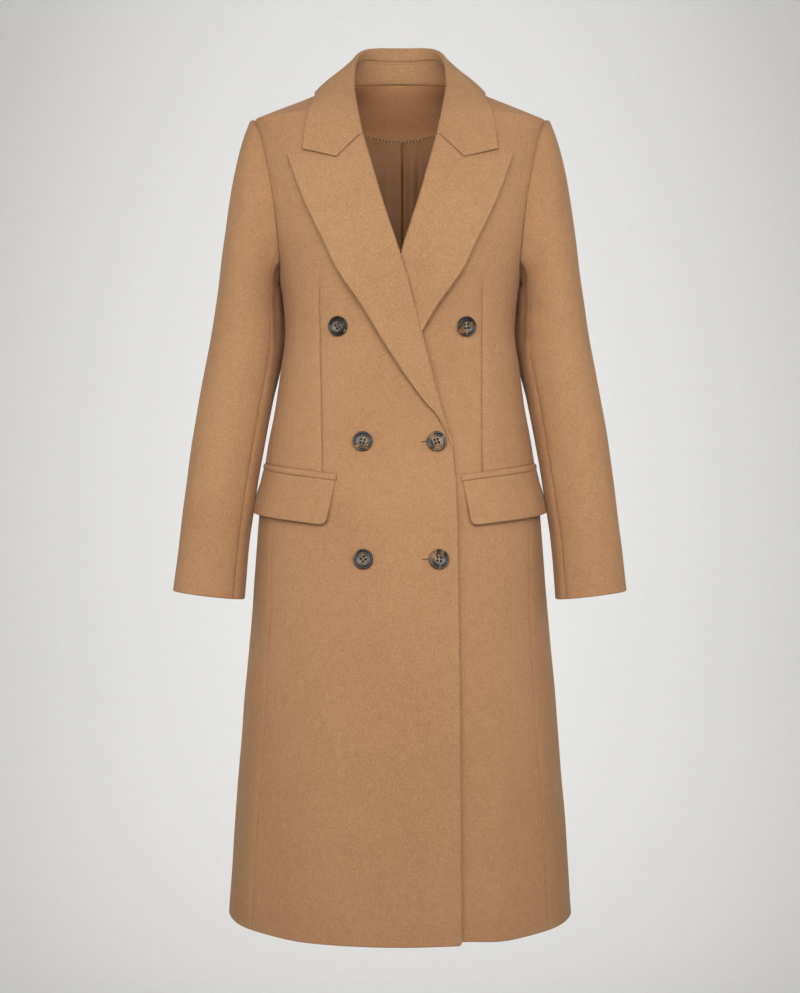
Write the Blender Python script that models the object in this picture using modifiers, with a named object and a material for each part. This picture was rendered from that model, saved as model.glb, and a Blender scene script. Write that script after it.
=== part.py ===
"""A long double-breasted coat with peak lapels, flap pockets and two-piece sleeves.

It keeps its worn shape with nobody inside. The sizes below are in millimetres, and the mesh is in
metres: +Z is up, the front faces -Y, and the wearer's right is at -X. The origin is level with the
neck ends of the shoulder seams, midway between them. Every panel is a wall of cloth between two
grids: its shown face, and the same points moved in along the form's normal.
"""

import bmesh
import bpy
import numpy as np
from mathutils import Matrix

MM = 0.001

# Cloth
WOOL = 2.0  # thickness of the outer cloth
FACING = 1.6  # thickness of the facings, which are also the cloth of the lapels
SATIN = 1.0  # thickness of the lining
GAP = 0.3  # between neighbouring pieces
RIGHT, LEFT = -1, 1  # the wearer's sides, as the sign of X

# Main sizes
HEM = -1080.0
SHOULDER_TIP = -46.0
SHOULDER_HALF_WIDTH = 187.0
NECK_HALF_WIDTH = 75.0
BACK_NECK_RISE = 13.5
FACING_DEPTH = 56.0  # of the back neck facing below the origin, at the centre back
ROLL = 3.5  # radius of the shown face where the lapels and collar turn over
LAPEL_SPRING = 1.5  # how far the lapel's outer edge stands off
BREAK = -458.0  # height at which the lapels start to turn
FACING_RETURN = 42.0  # width of the lapel cloth that turns inside the front


def columns(names, rows):
    """A short table as a dict of arrays, one for each named column."""
    return dict(zip(names.split(), np.array(rows, float).T))


# Cross-sections of the body. Each is a rounded oval: half its width, its depth to the front and to
# the back of the side points, where those are in Y, and how square it is (2 is an ellipse).
BODY = columns(
    "height width front back middle squareness",
    [
        (-1080, 223, 179, 160, 0, 2.00),
        (-930, 212, 167, 150, 0, 2.00),
        (-800, 202, 156, 141, 0, 2.00),
        (-700, 193, 148, 134, 0, 2.05),
        (-558, 182, 136, 124, 0, 2.10),
        (-491, 174, 126, 113, 0, 2.20),
        (-415, 161, 117, 97, 0, 2.25),
        (-370, 155, 118, 92, 0, 2.28),
        (-320, 149, 120, 88, 0, 2.30),
        (-248, 156, 128, 100, 0, 2.40),
        (-210, 166, 124, 106, 1, 2.40),
        (-160, 177, 114, 109, 2, 2.35),
        (-100, 185, 98, 105, 3, 2.30),
        (-46, 187, 76, 94, 4, 2.20),
        (-20, 187, 56, 79, 4, 2.10),
        (0, 187, 38, 66, 4, 2.00),
        (12, 187, 32, 60, 4, 2.00),
    ],
)

# The armhole seen from the side, round from the shoulder tip to the front.
ARMHOLE = columns(
    "turn y height",
    [
        (0.0, 4, -46),
        (22.5, -14, -56),
        (45.0, -30, -78),
        (67.5, -44, -110),
        (90.0, -54, -150),
        (112.5, -58, -190),
        (135.0, -50, -228),
        (157.5, -28, -251),
        (180.0, 2, -258),
        (202.5, 32, -251),
        (225.0, 52, -228),
        (247.5, 59, -185),
        (270.0, 57, -143),
        (292.5, 48, -105),
        (315.0, 36, -76),
        (337.5, 20, -55),
        (360.0, 4, -46),
    ],
)

# Where the seams of the side panel run, as angles from the centre front.
SIDE_SEAMS = columns(
    "height front back",
    [
        (-1080, 61, 122),
        (-800, 63, 121),
        (-700, 64, 120),
        (-558, 69, 119),
        (-491, 72, 118),
        (-415, 75, 116),
        (-320, 76, 113),
    ],
)

# The front edge, up the roll line and then the neckline. Across is towards the panel's own side.
FRONT_EDGE = columns(
    "height across",
    [
        (-1080, -75.0),
        (-690, -72.4),
        (-542, -70.0),
        (-500, -68.0),
        (-470, -65.0),
        (-450, -59.6),
        (-330, -26.8),
        (-244, -3.7),
        (-160, 23.6),
        (-77, 47.0),
        (-50, 58.0),
        (-25, 67.5),
        (-5, 73.0),
    ],
)

# How far the left front lies inside the right one's edge, and over what width it comes out again.
TUCK = columns(
    "height depth width",
    [(-1080, 6.6, 60), (-560, 6.6, 60), (-450, 8.6, 65), (-380, 9.6, 70), (-200, 9.6, 70), (-60, 6, 70)],
)

# The lapel's outer edge, from the break to the peak.
LAPEL_EDGE = columns(
    "across height",
    [
        (-61.5, -459),
        (-48.3, -436),
        (-29.3, -414),
        (-4.1, -380),
        (21.1, -340),
        (46.5, -295),
        (76.7, -249),
        (89.4, -222),
        (115.4, -168),
        (141.3, -101.5),
    ],
)
GORGE_START = (47.0, -77.0)  # across, height, where the collar meets the lapel at the roll line
NOTCH = (78.2, -111.0)
COLLAR_TIP = (120.0, -99.5)
COLLAR_END = ((GORGE_START[0] + ROLL, GORGE_START[1] + 2.2), (NOTCH[0] + 0.4, NOTCH[1] + 1.2), COLLAR_TIP)
COLLAR_CLEARANCE = 4.6  # in Y, between the body's face and the shown face of the collar's front
LAID_FROM = 0.6  # the place along the collar from which it starts to lie flat on the body

# The collar, from the centre back (0) to its front end (1): the fold at its top.
COLLAR_FOLD = columns(
    "along x y z",
    [
        (0.00, 0, 57, 61),
        (0.15, 24, 54, 60.5),
        (0.30, 44, 41, 56),
        (0.45, 55, 18, 43),
        (0.60, 58.5, -8, 22),
        (0.75, 58.5, -34, -8),
        (0.88, 54, -62.5, -40),
    ],
)
# The collar's outer edge and its neck seam, as places on the body: angle from the front, height.
COLLAR_EDGE = columns(
    "along angle height",
    [
        (0.00, 180, -6),
        (0.20, 158, -7),
        (0.40, 130, -9),
        (0.52, 105, -10),
        (0.61, 88, -13),
        (0.70, 70, -26),
        (0.80, 61.5, -45),
        (0.90, 58.5, -72),
    ],
)
NECK_SEAM = columns(
    "along angle height",
    [
        (0.00, 180, 14.3),
        (0.20, 155, 13.3),
        (0.40, 118, 8),
        (0.55, 90, 1),
        (0.70, 57, -18),
        (0.85, 40, -45),
    ],
)
COLLAR_BULGE = columns("along out", [(0.0, 5), (0.35, 6), (0.55, 5), (0.7, 6), (0.85, 6), (1.0, 2)])
STAND_SHARE = 0.67  # of the height from the neck seam to the fold

# The lower edge of the back neck facing, as angle from the front and height.
FACING_EDGE = columns(
    "angle height",
    [(100, -10), (112, -19), (130, -31), (146, -41), (157, -48), (168, -54), (180, -FACING_DEPTH)],
)

# The sleeve below its cap: outer and inner side in X, half its depth, its middle in Y, and how far
# the back of its inner side is pressed towards the body, which it hangs against down to the elbow.
SLEEVE = columns(
    "height outer inner half_depth middle press",
    [
        (-670, 291.5, 199.6, 44, -36, 0),
        (-592, 282.7, 193.6, 47, -31, 0),
        (-520, 274.5, 184.2, 50, -23, 0),
        (-470, 268.4, 176.0, 54, -16, 0),
        (-410, 259.7, 165.5, 58, -8, 1),
        (-370, 253.0, 158.2, 61, -3, 5),
        (-332, 246.3, 153.2, 63, 0, 9),
        (-272, 237.2, 154.6, 67, 2, 6),
    ],
)
SLEEVE_SEAM_BACK = -195.0  # height on the armhole at which the sleeve's back seam starts
CUFF_SLANT = 11.0  # how much lower the cuff is at its inner side
SLEEVE_HEAD, HEAD_TURN = 7.0, 60.0  # how far the sleeve's head stands up, and over what turn
HEAD_RISE, HEAD_FADE = 0.02, 0.25  # shares of the cap over which the head rises and is lost again
HEAD_WAY = np.array([0.86, 0.0, 0.5])  # out and up
FRONT_SEAM, SWING_REACH = 135.0, 60.0  # turn of the sleeve's front seam, and what swings with it
SWUNG_CAP, SWUNG_BACK = 5.5, 1.5  # turned in by the cap's end, and out again down to the cuff

# Broad soft waves of the skirt, at the hem: angle from the front, how far out, and their width.
WAVES = columns(
    "angle out width",
    [(-150, 5, 15), (-112, -4, 12), (-66, 3.5, 9), (66, 4, 10), (108, -4, 12), (146, 5, 16), (180, -3, 12)],
)

# Soft folds of the lining: place across, how far in, and width.
LINING_FOLDS = columns(
    "across depth width",
    [(-96, 4, 12), (-62, 3, 9), (-27, 4, 8), (0, 5, 4), (24, 4, 8), (58, 3, 10), (92, 4, 12)],
)

BUTTONS = {
    "button_upper_right": (-76.2, -323.0),
    "button_upper_left": (82.3, -323.0),
    "button_middle_right": (-46.0, -467.0),
    "button_middle_left": (45.0, -467.0),
    "button_lower_right": (-44.7, -612.0),
    "button_lower_left": (47.5, -612.0),
}

# What each kind of piece is made of, its colour as an sRGB hex value, and its roughness.
FINISHES = {
    "front": ("wool", "B3835F", 0.95),
    "side": ("wool", "A87C58", 0.95),
    "back": ("wool", "B0825E", 0.95),
    "lapel": ("wool", "BE926D", 0.95),
    "collar": ("wool", "BA8E69", 0.95),
    "neck_facing": ("wool", "A57954", 0.95),
    "sleeve": ("wool", "B38662", 0.95),
    "pocket": ("wool", "B58A64", 0.95),
    "lining": ("satin", "6B4B35", 0.45),
    "button": ("horn", "403126", 0.30),
}


def smooth(table, column, at, along="height"):
    """The column's value at each place: a cubic through the rows that never overshoots them, and a
    straight line past its ends."""
    x, y = table[along], table[column]
    if x[0] > x[-1]:
        x, y = x[::-1], y[::-1]
    step = np.diff(x)
    rise = np.diff(y) / step
    same_way = rise[:-1] * rise[1:] > 0
    total = np.where(same_way, rise[:-1] + rise[1:], 1.0)
    inner = np.where(same_way, 2 * rise[:-1] * rise[1:] / total, 0.0)
    slope = np.concatenate([rise[:1], inner, rise[-1:]])
    held = np.clip(at, x[0], x[-1])
    i = np.clip(np.searchsorted(x, held, side="right") - 1, 0, len(x) - 2)
    t = (held - x[i]) / step[i]
    curve = y[i] * (1 + 2 * t) * (1 - t) ** 2 + y[i + 1] * t * t * (3 - 2 * t)
    curve = curve + step[i] * t * (1 - t) * (slope[i] * (1 - t) - slope[i + 1] * t)
    return curve + (at - held) * np.where(at < held, slope[0], slope[-1])


def ease(t):
    """From 0 to 1, level at both ends."""
    t = np.clip(t, 0.0, 1.0)
    return t * t * (3 - 2 * t)


def unit(vectors):
    return vectors / np.linalg.norm(vectors, axis=-1, keepdims=True)


def moved_out(surface, u, v, out):
    """Points of a surface of two parameters, moved out along its normal. A unit of either
    parameter is at least a millimetre, so a small step finds the normal."""
    e = 0.01
    along_u = surface(u + e, v) - surface(u - e, v)
    along_v = surface(u, v + e) - surface(u, v - e)
    return surface(u, v) + np.asarray(out)[..., None] * unit(np.cross(along_u, along_v))


def half_width(height):
    """Half the body's width: the sides, then along the slope of the shoulders to the neck."""
    slope = (SHOULDER_HALF_WIDTH - NECK_HALF_WIDTH) / -SHOULDER_TIP
    over_shoulder = NECK_HALF_WIDTH - slope * np.minimum(height, 0) - 1.2 * np.maximum(height, 0)
    return np.minimum(smooth(BODY, "width", height), over_shoulder)


def waves(angle, height):
    """The skirt's soft waves, which grow from the hip to the hem."""
    grown = ease((-560 - height) / 520)
    out = 0.0
    for centre, size, width in zip(WAVES["angle"], WAVES["out"], WAVES["width"]):
        away = (angle - centre + 180) % 360 - 180
        out = out + size * np.exp(-((away / width) ** 2))
    return out * grown


def body(angle, height):
    """The form itself: a rounded oval at each height, by the angle from the centre front."""
    a = np.radians(angle)
    depth = np.where(np.cos(a) > 0, smooth(BODY, "front", height), smooth(BODY, "back", height))
    n = smooth(BODY, "squareness", height)
    radius = (np.abs(np.sin(a) / half_width(height)) ** n + np.abs(np.cos(a) / depth) ** n) ** (-1 / n)
    radius = radius + waves(angle, height)
    y = smooth(BODY, "middle", height) - radius * np.cos(a)
    return np.stack([radius * np.sin(a), y, height + 0 * radius], axis=-1)


def on_body(angle, height, out=0.0):
    """A point on the form, moved out along its normal."""
    angle, height, out = np.broadcast_arrays(angle, height, out)
    return moved_out(body, angle, height, out)


def angle_at(x, height):
    """The angle of the front point that is x across at this height."""
    width, depth = half_width(height), smooth(BODY, "front", height)
    n = smooth(BODY, "squareness", height)
    forward = depth * (1 - np.clip(np.abs(x) / width, 0, 0.9999) ** n) ** (1 / n)
    return np.degrees(np.arctan2(x, forward))


def angle_from_y(y, height):
    """The angle of the side point that is at y and this height."""
    forward = smooth(BODY, "middle", height) - y
    depth = np.where(forward > 0, smooth(BODY, "front", height), smooth(BODY, "back", height))
    n = smooth(BODY, "squareness", height)
    across = half_width(height) * (1 - np.clip(np.abs(forward) / depth, 0, 0.9999) ** n) ** (1 / n)
    return np.degrees(np.arctan2(across, forward))


def tuck(x, height, side):
    """How far a side's front lies inside the form: the left one passes under the right one."""
    if side == RIGHT:
        return 0.0 * x
    edge = -smooth(FRONT_EDGE, "across", height)
    return smooth(TUCK, "depth", height) * (1 - ease((x - edge) / smooth(TUCK, "width", height)))


def hem_lift(angle, height):
    """The hem rises a little over the side panels."""
    share = ease((-950 - height) / 130)
    return 7.0 * share * np.sin(np.radians(2 * np.clip(np.abs(angle), 35, 125) - 70)) ** 2


def seam_angle(radius):
    """Half the gap of a seam, as an angle."""
    return np.degrees(GAP / 2 / radius)


def wall(name, shown, hidden):
    """A closed wall of cloth: a grid of faces, extruded, with the grid's points moved to the shown
    face and the extruded ones to the hidden face."""
    rows, cols = shown.shape[:2]
    shape = bmesh.new()
    bmesh.ops.create_grid(shape, x_segments=cols - 1, y_segments=rows - 1)
    spot = shape.verts.layers.int.new("spot")
    for k, vertex in enumerate(shape.verts):
        vertex[spot] = k
    extruded = bmesh.ops.extrude_face_region(shape, geom=shape.faces[:], use_keep_orig=True)
    beyond = {item for item in extruded["geom"] if isinstance(item, bmesh.types.BMVert)}
    faces = shown.reshape(-1, 3) * MM, hidden.reshape(-1, 3) * MM
    for vertex in shape.verts:
        vertex.co = faces[vertex in beyond][vertex[spot]]
    shape.verts.layers.int.remove(spot)
    mesh = bpy.data.meshes.new(name)
    shape.to_mesh(mesh)
    shape.free()
    finish(mesh)
    return place(name, mesh)


def finish(mesh):
    """Makes the faces point outwards and shades them smooth but for the cut edges."""
    shape = bmesh.new()
    shape.from_mesh(mesh)
    bmesh.ops.recalc_face_normals(shape, faces=shape.faces)
    if shape.calc_volume(signed=True) < 0:
        bmesh.ops.reverse_faces(shape, faces=shape.faces)
    shape.to_mesh(mesh)
    shape.free()
    mesh.shade_smooth()
    mesh.set_sharp_from_angle(angle=np.radians(50))


def place(name, mesh):
    """Puts a mesh in the coat's collection under its own name, with its own material."""
    piece = bpy.data.objects.new(name, mesh)
    mesh.materials.append(cloth_or_horn(name))
    bpy.data.collections["coat"].objects.link(piece)
    return piece


def linear(hex_colour):
    """An sRGB hex value as linear red, green, blue and alpha."""
    share = np.array([int(hex_colour[k : k + 2], 16) for k in (0, 2, 4)]) / 255
    return (*np.where(share < 0.04045, share / 12.92, ((share + 0.055) / 1.055) ** 2.4), 1.0)


def cloth_or_horn(name):
    """A piece's own material, by the kind of piece that its name starts with."""
    kind = next(kind for kind in FINISHES if name.startswith(kind))
    substance, colour, roughness = FINISHES[kind]
    material = bpy.data.materials.new(f"{name}_{substance}")
    material.use_nodes = True
    shader = material.node_tree.nodes["Principled BSDF"]
    shader.inputs["Base Color"].default_value = linear(colour)
    shader.inputs["Roughness"].default_value = roughness
    shader.inputs["Metallic"].default_value = 0.0
    return material


def grid(across, along):
    return np.meshgrid(across, along)


def spread(low, high, count):
    return np.linspace(low, high, count)


UNDERARM = -228.0  # where the side panel's seams meet the armhole
SIDE_ROWS = np.concatenate(
    [spread(HEM, -560, 8)[:-1], spread(-560, -460, 4)[:-1], spread(-460, UNDERARM, 10)]
)
FRONT_ROWS = np.concatenate([SIDE_ROWS, [-200, -172, -145, -118, -90, -68, -54, -46, -36, -24, -14, -6]])
BACK_ROWS = np.concatenate([SIDE_ROWS, [-195, -160, -125, -90, -64, -46, -32, -18, -8, 0]])


def turn_at(height, front):
    """The turn round the armhole at which its front or back half has this height."""
    turns = spread(0, 180, 721) if front else spread(360, 180, 721)
    heights = smooth(ARMHOLE, "height", turns, "turn")
    return np.interp(height, heights[::-1], turns[::-1])


def armhole_angle(turn):
    """The angle round the body of a point of the armhole."""
    turn = turn % 360
    return angle_from_y(smooth(ARMHOLE, "y", turn, "turn"), smooth(ARMHOLE, "height", turn, "turn"))


def seam_at(height, front):
    """The angle of a body panel's outer edge: the side seam, the armhole, then the shoulder."""
    table = {name: SIDE_SEAMS[name] for name in ("height", "front", "back")}
    corners = {"front": armhole_angle(135.0), "back": armhole_angle(225.0)}
    table = with_end(table, height=UNDERARM, **corners)
    seam = smooth(table, "front" if front else "back", height)
    edge = armhole_angle(turn_at(height, front))
    return np.where(height >= SHOULDER_TIP, 90.0, np.where(height < UNDERARM, seam, edge))


def front_bounds(height):
    """Angles of the front panel's outer edge and of its front edge, at each height."""
    outer = seam_at(height, True)
    inset = (ROLL + 1.2) * ease((height + 476) / 30) + 2.5 * ease((height + 75) / 20)
    inner = angle_at(smooth(FRONT_EDGE, "across", height) + inset, height)
    radius = half_width(height)
    return outer - seam_angle(radius), inner


def front_panel(side):
    """One front, from the side seam and armhole to its front edge, roll line and neckline."""
    height = FRONT_ROWS
    outer, inner = front_bounds(height)
    share, height = grid(spread(0, 1, 14), height)
    angle = outer[:, None] + (inner - outer)[:, None] * share
    height = height + hem_lift(angle, height)
    across = body(side * angle, height)[..., 0]
    out = -tuck(across, height, side)
    height = height - 0.5 * out * ease((-950 - height) / 130)
    name = "front_right" if side == RIGHT else "front_left"
    wall(name, on_body(side * angle, height, out), on_body(side * angle, height, out - WOOL))


def side_panel(side):
    """The panel under the arm, from the bottom of the armhole to the hem."""
    share, row = grid(spread(0, 1, 7), SIDE_ROWS)
    turn = 135.0 + 90.0 * share
    dip = ((row - HEM) / (UNDERARM - HEM)) ** 6
    height = row + (smooth(ARMHOLE, "height", turn, "turn") - UNDERARM - 2 * GAP) * dip
    front, back = seam_at(row, True), seam_at(row, False)
    corners = armhole_angle(135.0), armhole_angle(225.0)
    bow = armhole_angle(turn) - corners[0] - (corners[1] - corners[0]) * share
    angle = front + (back - front) * share + bow * dip
    angle = angle + seam_angle(half_width(height)) * (1 - 2 * share)
    height = height + hem_lift(angle, height)
    name = "side_right" if side == RIGHT else "side_left"
    wall(name, on_body(side * angle, height), on_body(side * angle, height, -WOOL))


def back_panel(side):
    """Half the back, from the centre seam to the side seam, armhole and shoulder."""
    height = BACK_ROWS
    outer = seam_at(height, False) + seam_angle(half_width(height))
    inner = 180.0 - seam_angle(smooth(BODY, "back", height))
    share, height = grid(spread(0, 1, 9), height)
    angle = outer[:, None] + (inner - outer)[:, None] * share
    height = height + hem_lift(angle, height)
    height = height + BACK_NECK_RISE * share * (2 - share) * ease((height - SHOULDER_TIP) / -SHOULDER_TIP)
    name = "back_right" if side == RIGHT else "back_left"
    wall(name, on_body(side * angle, height), on_body(side * angle, height, -WOOL))


def by_length(across, height, share):
    """Points at these shares of the length of a line through the given points."""
    step = np.hypot(np.diff(across), np.diff(height))
    reached = np.concatenate([[0], np.cumsum(step)])
    table = {"length": reached / reached[-1], "across": across, "height": height}
    return smooth(table, "across", share, "length"), smooth(table, "height", share, "length")


def lapel_patch(share, along):
    """Across and height on the turned-back lapel: a Coons patch between the roll line, the outer
    edge, the break and the top edge, which has its corner at the notch."""
    keep = (FRONT_EDGE["height"] > BREAK) & (FRONT_EDGE["height"] <= GORGE_START[1])
    roll_height = np.concatenate([[BREAK], FRONT_EDGE["height"][keep]])
    roll_across = smooth(FRONT_EDGE, "across", roll_height) + ROLL
    roll = by_length(roll_across, roll_height, along)
    edge = by_length(LAPEL_EDGE["across"], LAPEL_EDGE["height"], along)
    corners = [roll_across[0], roll_height[0]], [LAPEL_EDGE["across"][0], LAPEL_EDGE["height"][0]]
    peak = LAPEL_EDGE["across"][-1], LAPEL_EDGE["height"][-1]
    top_points = (GORGE_START[0] + ROLL, GORGE_START[1]), NOTCH, peak
    found = []
    for k in (0, 1):
        top = np.interp(share, [0, NOTCH_SHARE, 1], [p[k] for p in top_points])
        bottom = corners[0][k] + (corners[1][k] - corners[0][k]) * share
        ruled = (1 - along) * bottom + along * top + (1 - share) * roll[k] + share * edge[k]
        corner = (1 - along) * ((1 - share) * corners[0][k] + share * corners[1][k])
        corner = corner + along * ((1 - share) * top_points[0][k] + share * top_points[2][k])
        found.append(ruled - corner)
    return found


NOTCH_SHARE = 0.42  # of the lapel's top edge, at which the collar's end meets it
LAPEL_UNIT = 100.0  # parameters of the folded pieces are in hundredths


def lapel(side):
    """The surface of one lapel: u from -100 to 0 is the return inside the front, 0 to 100 the turn
    over the front's edge, and 100 to 200 the lapel that shows; v runs up the roll line."""

    def surface(u, v):
        u, v = np.broadcast_arrays(u / LAPEL_UNIT, v / LAPEL_UNIT)
        share = np.clip(u - 1, 0, 2)
        across, height = lapel_patch(share, v)
        turn = np.pi * np.clip(u, 0, 1)
        across = across - ROLL * np.sin(turn) * (u < 1) - np.minimum(u, 0) * FACING_RETURN
        x = side * across
        out = -WOOL / 2 - ROLL * np.cos(turn) + LAPEL_SPRING * share**2 - tuck(x, height, side)
        return on_body(angle_at(x, height), height, out)

    return surface


def lapel_piece(side):
    notch = 100 + 100 * NOTCH_SHARE
    across = [[-100, -50], spread(0, 100, 5), spread(100, notch, 5)[1:], spread(notch, 200, 5)[1:]]
    across = np.concatenate(across)
    u, v = grid(across, spread(0, 100, 18))
    surface = lapel(side)
    v = v - (v == 100) * (1.2 - ease((u - 80) / 50))
    inward = FACING if side == RIGHT else -FACING
    name = "lapel_right" if side == RIGHT else "lapel_left"
    wall(name, surface(u, v), moved_out(surface, u, v, inward))


def mirrored(table, odd):
    """A table of one half carried over to the other half of the collar."""
    flip = {name: values[:0:-1] * (-1 if name in odd else 1) for name, values in table.items()}
    return {name: np.concatenate([flip[name], table[name]]) for name in table}


def with_end(table, **end):
    return {name: np.append(values, end[name]) for name, values in table.items()}


def collar_guides(along):
    """The collar's neck seam, fold and outer edge at each place from -1 to 1, as three points."""
    start = on_body(angle_at(GORGE_START[0], GORGE_START[1]), GORGE_START[1], -WOOL / 2)
    fold = mirrored(with_end(COLLAR_FOLD, along=1, x=start[0], y=start[1], z=start[2]), ("along", "x"))
    fold = np.stack([smooth(fold, k, along, "along") for k in "xyz"], axis=-1)
    side = np.sign(along) + (along == 0)
    away = np.abs(along)
    tip_angle = float(angle_at(COLLAR_TIP[0], COLLAR_TIP[1]))
    edge = mirrored(with_end(COLLAR_EDGE, along=1, angle=tip_angle, height=COLLAR_TIP[1]), ("along",))
    edge_out = WOOL + 2.0
    outer = on_body(
        side * smooth(edge, "angle", along, "along"), smooth(edge, "height", along, "along"), edge_out
    )
    seam_end = float(angle_at(GORGE_START[0] + 12, GORGE_START[1]))
    seam = mirrored(with_end(NECK_SEAM, along=1, angle=seam_end, height=GORGE_START[1]), ("along",))
    inside = -(WOOL + 0.6 + FACING)
    neck = on_body(
        side * smooth(seam, "angle", along, "along"),
        smooth(seam, "height", along, "along") + 0.8 + 0 * away,
        inside,
    )
    return neck, fold, outer


def collar_frame(along):
    """At each place: the guides, the way to the fold and the way out from the neck."""
    neck, fold, outer = collar_guides(along)
    e = 0.004
    tangent = unit(collar_guides(along + e)[1] - collar_guides(along - e)[1])
    rise = fold - (neck + outer) / 2
    rise = unit(rise - (rise * tangent).sum(-1, keepdims=True) * tangent)
    outward = np.cross(rise, tangent)
    return neck, fold, outer, rise, outward


def collar(u, v):
    """The collar's shown face: u is the place along it in hundredths. v from -200 to -100 is the
    stand, -100 to 0 the inner part of the fall, 0 to 100 the turn at the fold, and 100 to 200 the
    fall outside. The fall's front end follows the gorge and then the notch."""
    u, v = np.broadcast_arrays(u / LAPEL_UNIT, v / LAPEL_UNIT)
    neck, fold, outer, rise, outward = collar_frame(u)
    centre = fold - ROLL * rise
    turn = (np.pi * np.clip(v, 0, 1))[..., None]
    turned = centre + ROLL * (np.sin(turn) * rise - np.cos(turn) * outward)
    inner_top = centre - ROLL * outward
    down = np.clip(-v, 0, None)[..., None]
    below = (1 - STAND_SHARE) * np.minimum(down, 1) + STAND_SHARE * np.maximum(down - 1, 0)
    inner = inner_top + (neck - inner_top) * below
    w = np.clip(v - 1, 0, None)[..., None]
    outer_top = centre + ROLL * outward
    chord = outer - outer_top
    lift = unit(np.cross(chord, np.cross(outward, rise)))
    lift = lift * np.sign((lift * outward).sum(-1, keepdims=True))
    bulge = smooth(mirrored(COLLAR_BULGE, ("along",)), "out", u, "along")[..., None]
    fall = outer_top + chord * w + bulge * 4 * w * (1 - w) * lift
    fall = clear_of_body(np.abs(u), fall)
    laid = laid_end(u, w[..., 0], outer_top + chord * w, fall)
    fall = np.where(np.abs(u)[..., None] > LAID_FROM, laid, fall)
    return np.where(v[..., None] < 0, inner, np.where(v[..., None] <= 1, turned, fall))


def clear_of_body(along, points):
    """Keeps the front part of the fall in front of the body's cloth, with a rounded change."""
    x, y, z = np.moveaxis(points, -1, 0)
    width = half_width(z)
    share = np.clip(np.abs(x) / width, 0, 0.97)
    n = smooth(BODY, "squareness", z)
    face = smooth(BODY, "middle", z) - smooth(BODY, "front", z) * (1 - share**n) ** (1 / n)
    limit = face - COLLAR_CLEARANCE
    inside = (y - limit) / 2.0
    kept = limit + 2.0 * -np.log1p(np.exp(-np.clip(inside, -30, 30)))
    kept = np.where(inside > 30, limit, kept)
    near = ease((along - 0.6) / 0.1) * ease((0.97 - np.abs(x) / width) / 0.1)
    return np.stack([x, y + (np.minimum(kept, y) - y) * near, z], axis=-1)


def laid_end(u, w, flat, fall):
    """Lays the front of the fall on the lapel's level, with its end on the gorge and notch."""
    side = np.sign(u) + (u == 0)
    near = ease((np.abs(u) - LAID_FROM) / (1 - LAID_FROM))
    wanted, straight = end_line(w, COLLAR_END), end_line(w, COLLAR_END[::2])
    x = flat[..., 0] * side + near**2 * (wanted[0] - straight[0])
    z = flat[..., 2] + near**2 * (wanted[1] - straight[1])
    out = -WOOL / 2 + ROLL + LAPEL_SPRING * w**2 + 0.5
    laid = on_body(angle_at(side * x, z), z, out)
    return fall + (laid - fall) * near[..., None]


def end_line(w, points):
    """A place on the line through the given places across and up, with w from 0 to 1."""
    shares = spread(0, 1, len(points))
    return [np.interp(w, shares, [p[k] for p in points]) for k in (0, 1)]


def collar_pieces():
    """The fall, which turns over at the fold, and the stand that carries it."""
    places = spread(-100, 100, 31)
    u, v = grid(places, np.concatenate([[-100, 0], spread(0, 100, 5)[1:], spread(100, 200, 7)[1:]]))
    wall("collar_fall", collar(u, v), moved_out(collar, u, v, -WOOL))
    u, v = grid(places[5:-5], [-199, -150, -103])
    wall("collar_stand", collar(u, v), moved_out(collar, u, v, -WOOL))


def neck_facing():
    """The curved facing inside the back neck."""
    share, along = grid(spread(-1, 1, 15), spread(0, 1, 5))
    angle = 180 - 78.75 * share
    own = np.abs((angle + 180) % 360 - 180)
    own = np.where(own == 0, 180, own)
    low = smooth(FACING_EDGE, "height", own, "angle")
    high = smooth(NECK_SEAM, "height", own, "angle")
    height = low + (high - 2 * GAP - low) * along
    depth = -(WOOL + 1.0)
    wall("neck_facing", on_body(angle, height, depth - FACING), on_body(angle, height, depth))


def lining_depth(x, height):
    """How far the lining hangs off the wool, with its folds and the pleat at the centre back."""
    depth = WOOL + 1.2 + 5.0 * ease((-FACING_DEPTH - height) / 60)
    for centre, size, width in zip(*(LINING_FOLDS[k] for k in ("across", "depth", "width"))):
        grown = ease((-FACING_DEPTH - 4 - height) / 50)
        depth = depth + size * np.exp(-(((x - centre) / width) ** 2)) * grown
    return depth


def lining():
    """The back lining, below the facing down to just above the hem."""
    share, along = grid(spread(-1, 1, 23), spread(0, 1, 13))
    angle = 180 - 58 * share
    own = np.abs((angle + 180) % 360 - 180)
    own = np.where(own == 0, 180, own)
    top = smooth(FACING_EDGE, "height", own, "angle") - GAP
    height = top + (HEM + 35 - top) * along**1.2
    x = body(angle, height)[..., 0]
    depth = lining_depth(x, height)
    wall("lining_back", on_body(angle, height, -depth - SATIN), on_body(angle, height, -depth))


def armhole(turn, out=0.0):
    """The seam round the armhole, by the turn from the shoulder tip to the front."""
    return on_body(armhole_angle(turn), smooth(ARMHOLE, "height", turn % 360, "turn"), out)


def sleeve_ring(turn, height):
    """The sleeve's own section below the cap. The turn starts at its outer side."""
    t = np.radians(turn)
    outer, inner = smooth(SLEEVE, "outer", height), smooth(SLEEVE, "inner", height)
    x = (outer + inner) / 2 + (outer - inner) / 2 * np.cos(t)
    inner_back = 2 * np.clip(-np.cos(t), 0, None) * np.clip(-np.sin(t), 0, None)
    x = x - smooth(SLEEVE, "press", height) * inner_back
    y = smooth(SLEEVE, "middle", height) - smooth(SLEEVE, "half_depth", height) * np.sin(t)
    drop = CUFF_SLANT * -np.cos(t) * ease((-300 - height) / 300)
    return np.stack([x, y, height - drop / 2], axis=-1)


CAP_BOTTOM, CUFF = -272.0, -661.0


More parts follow.
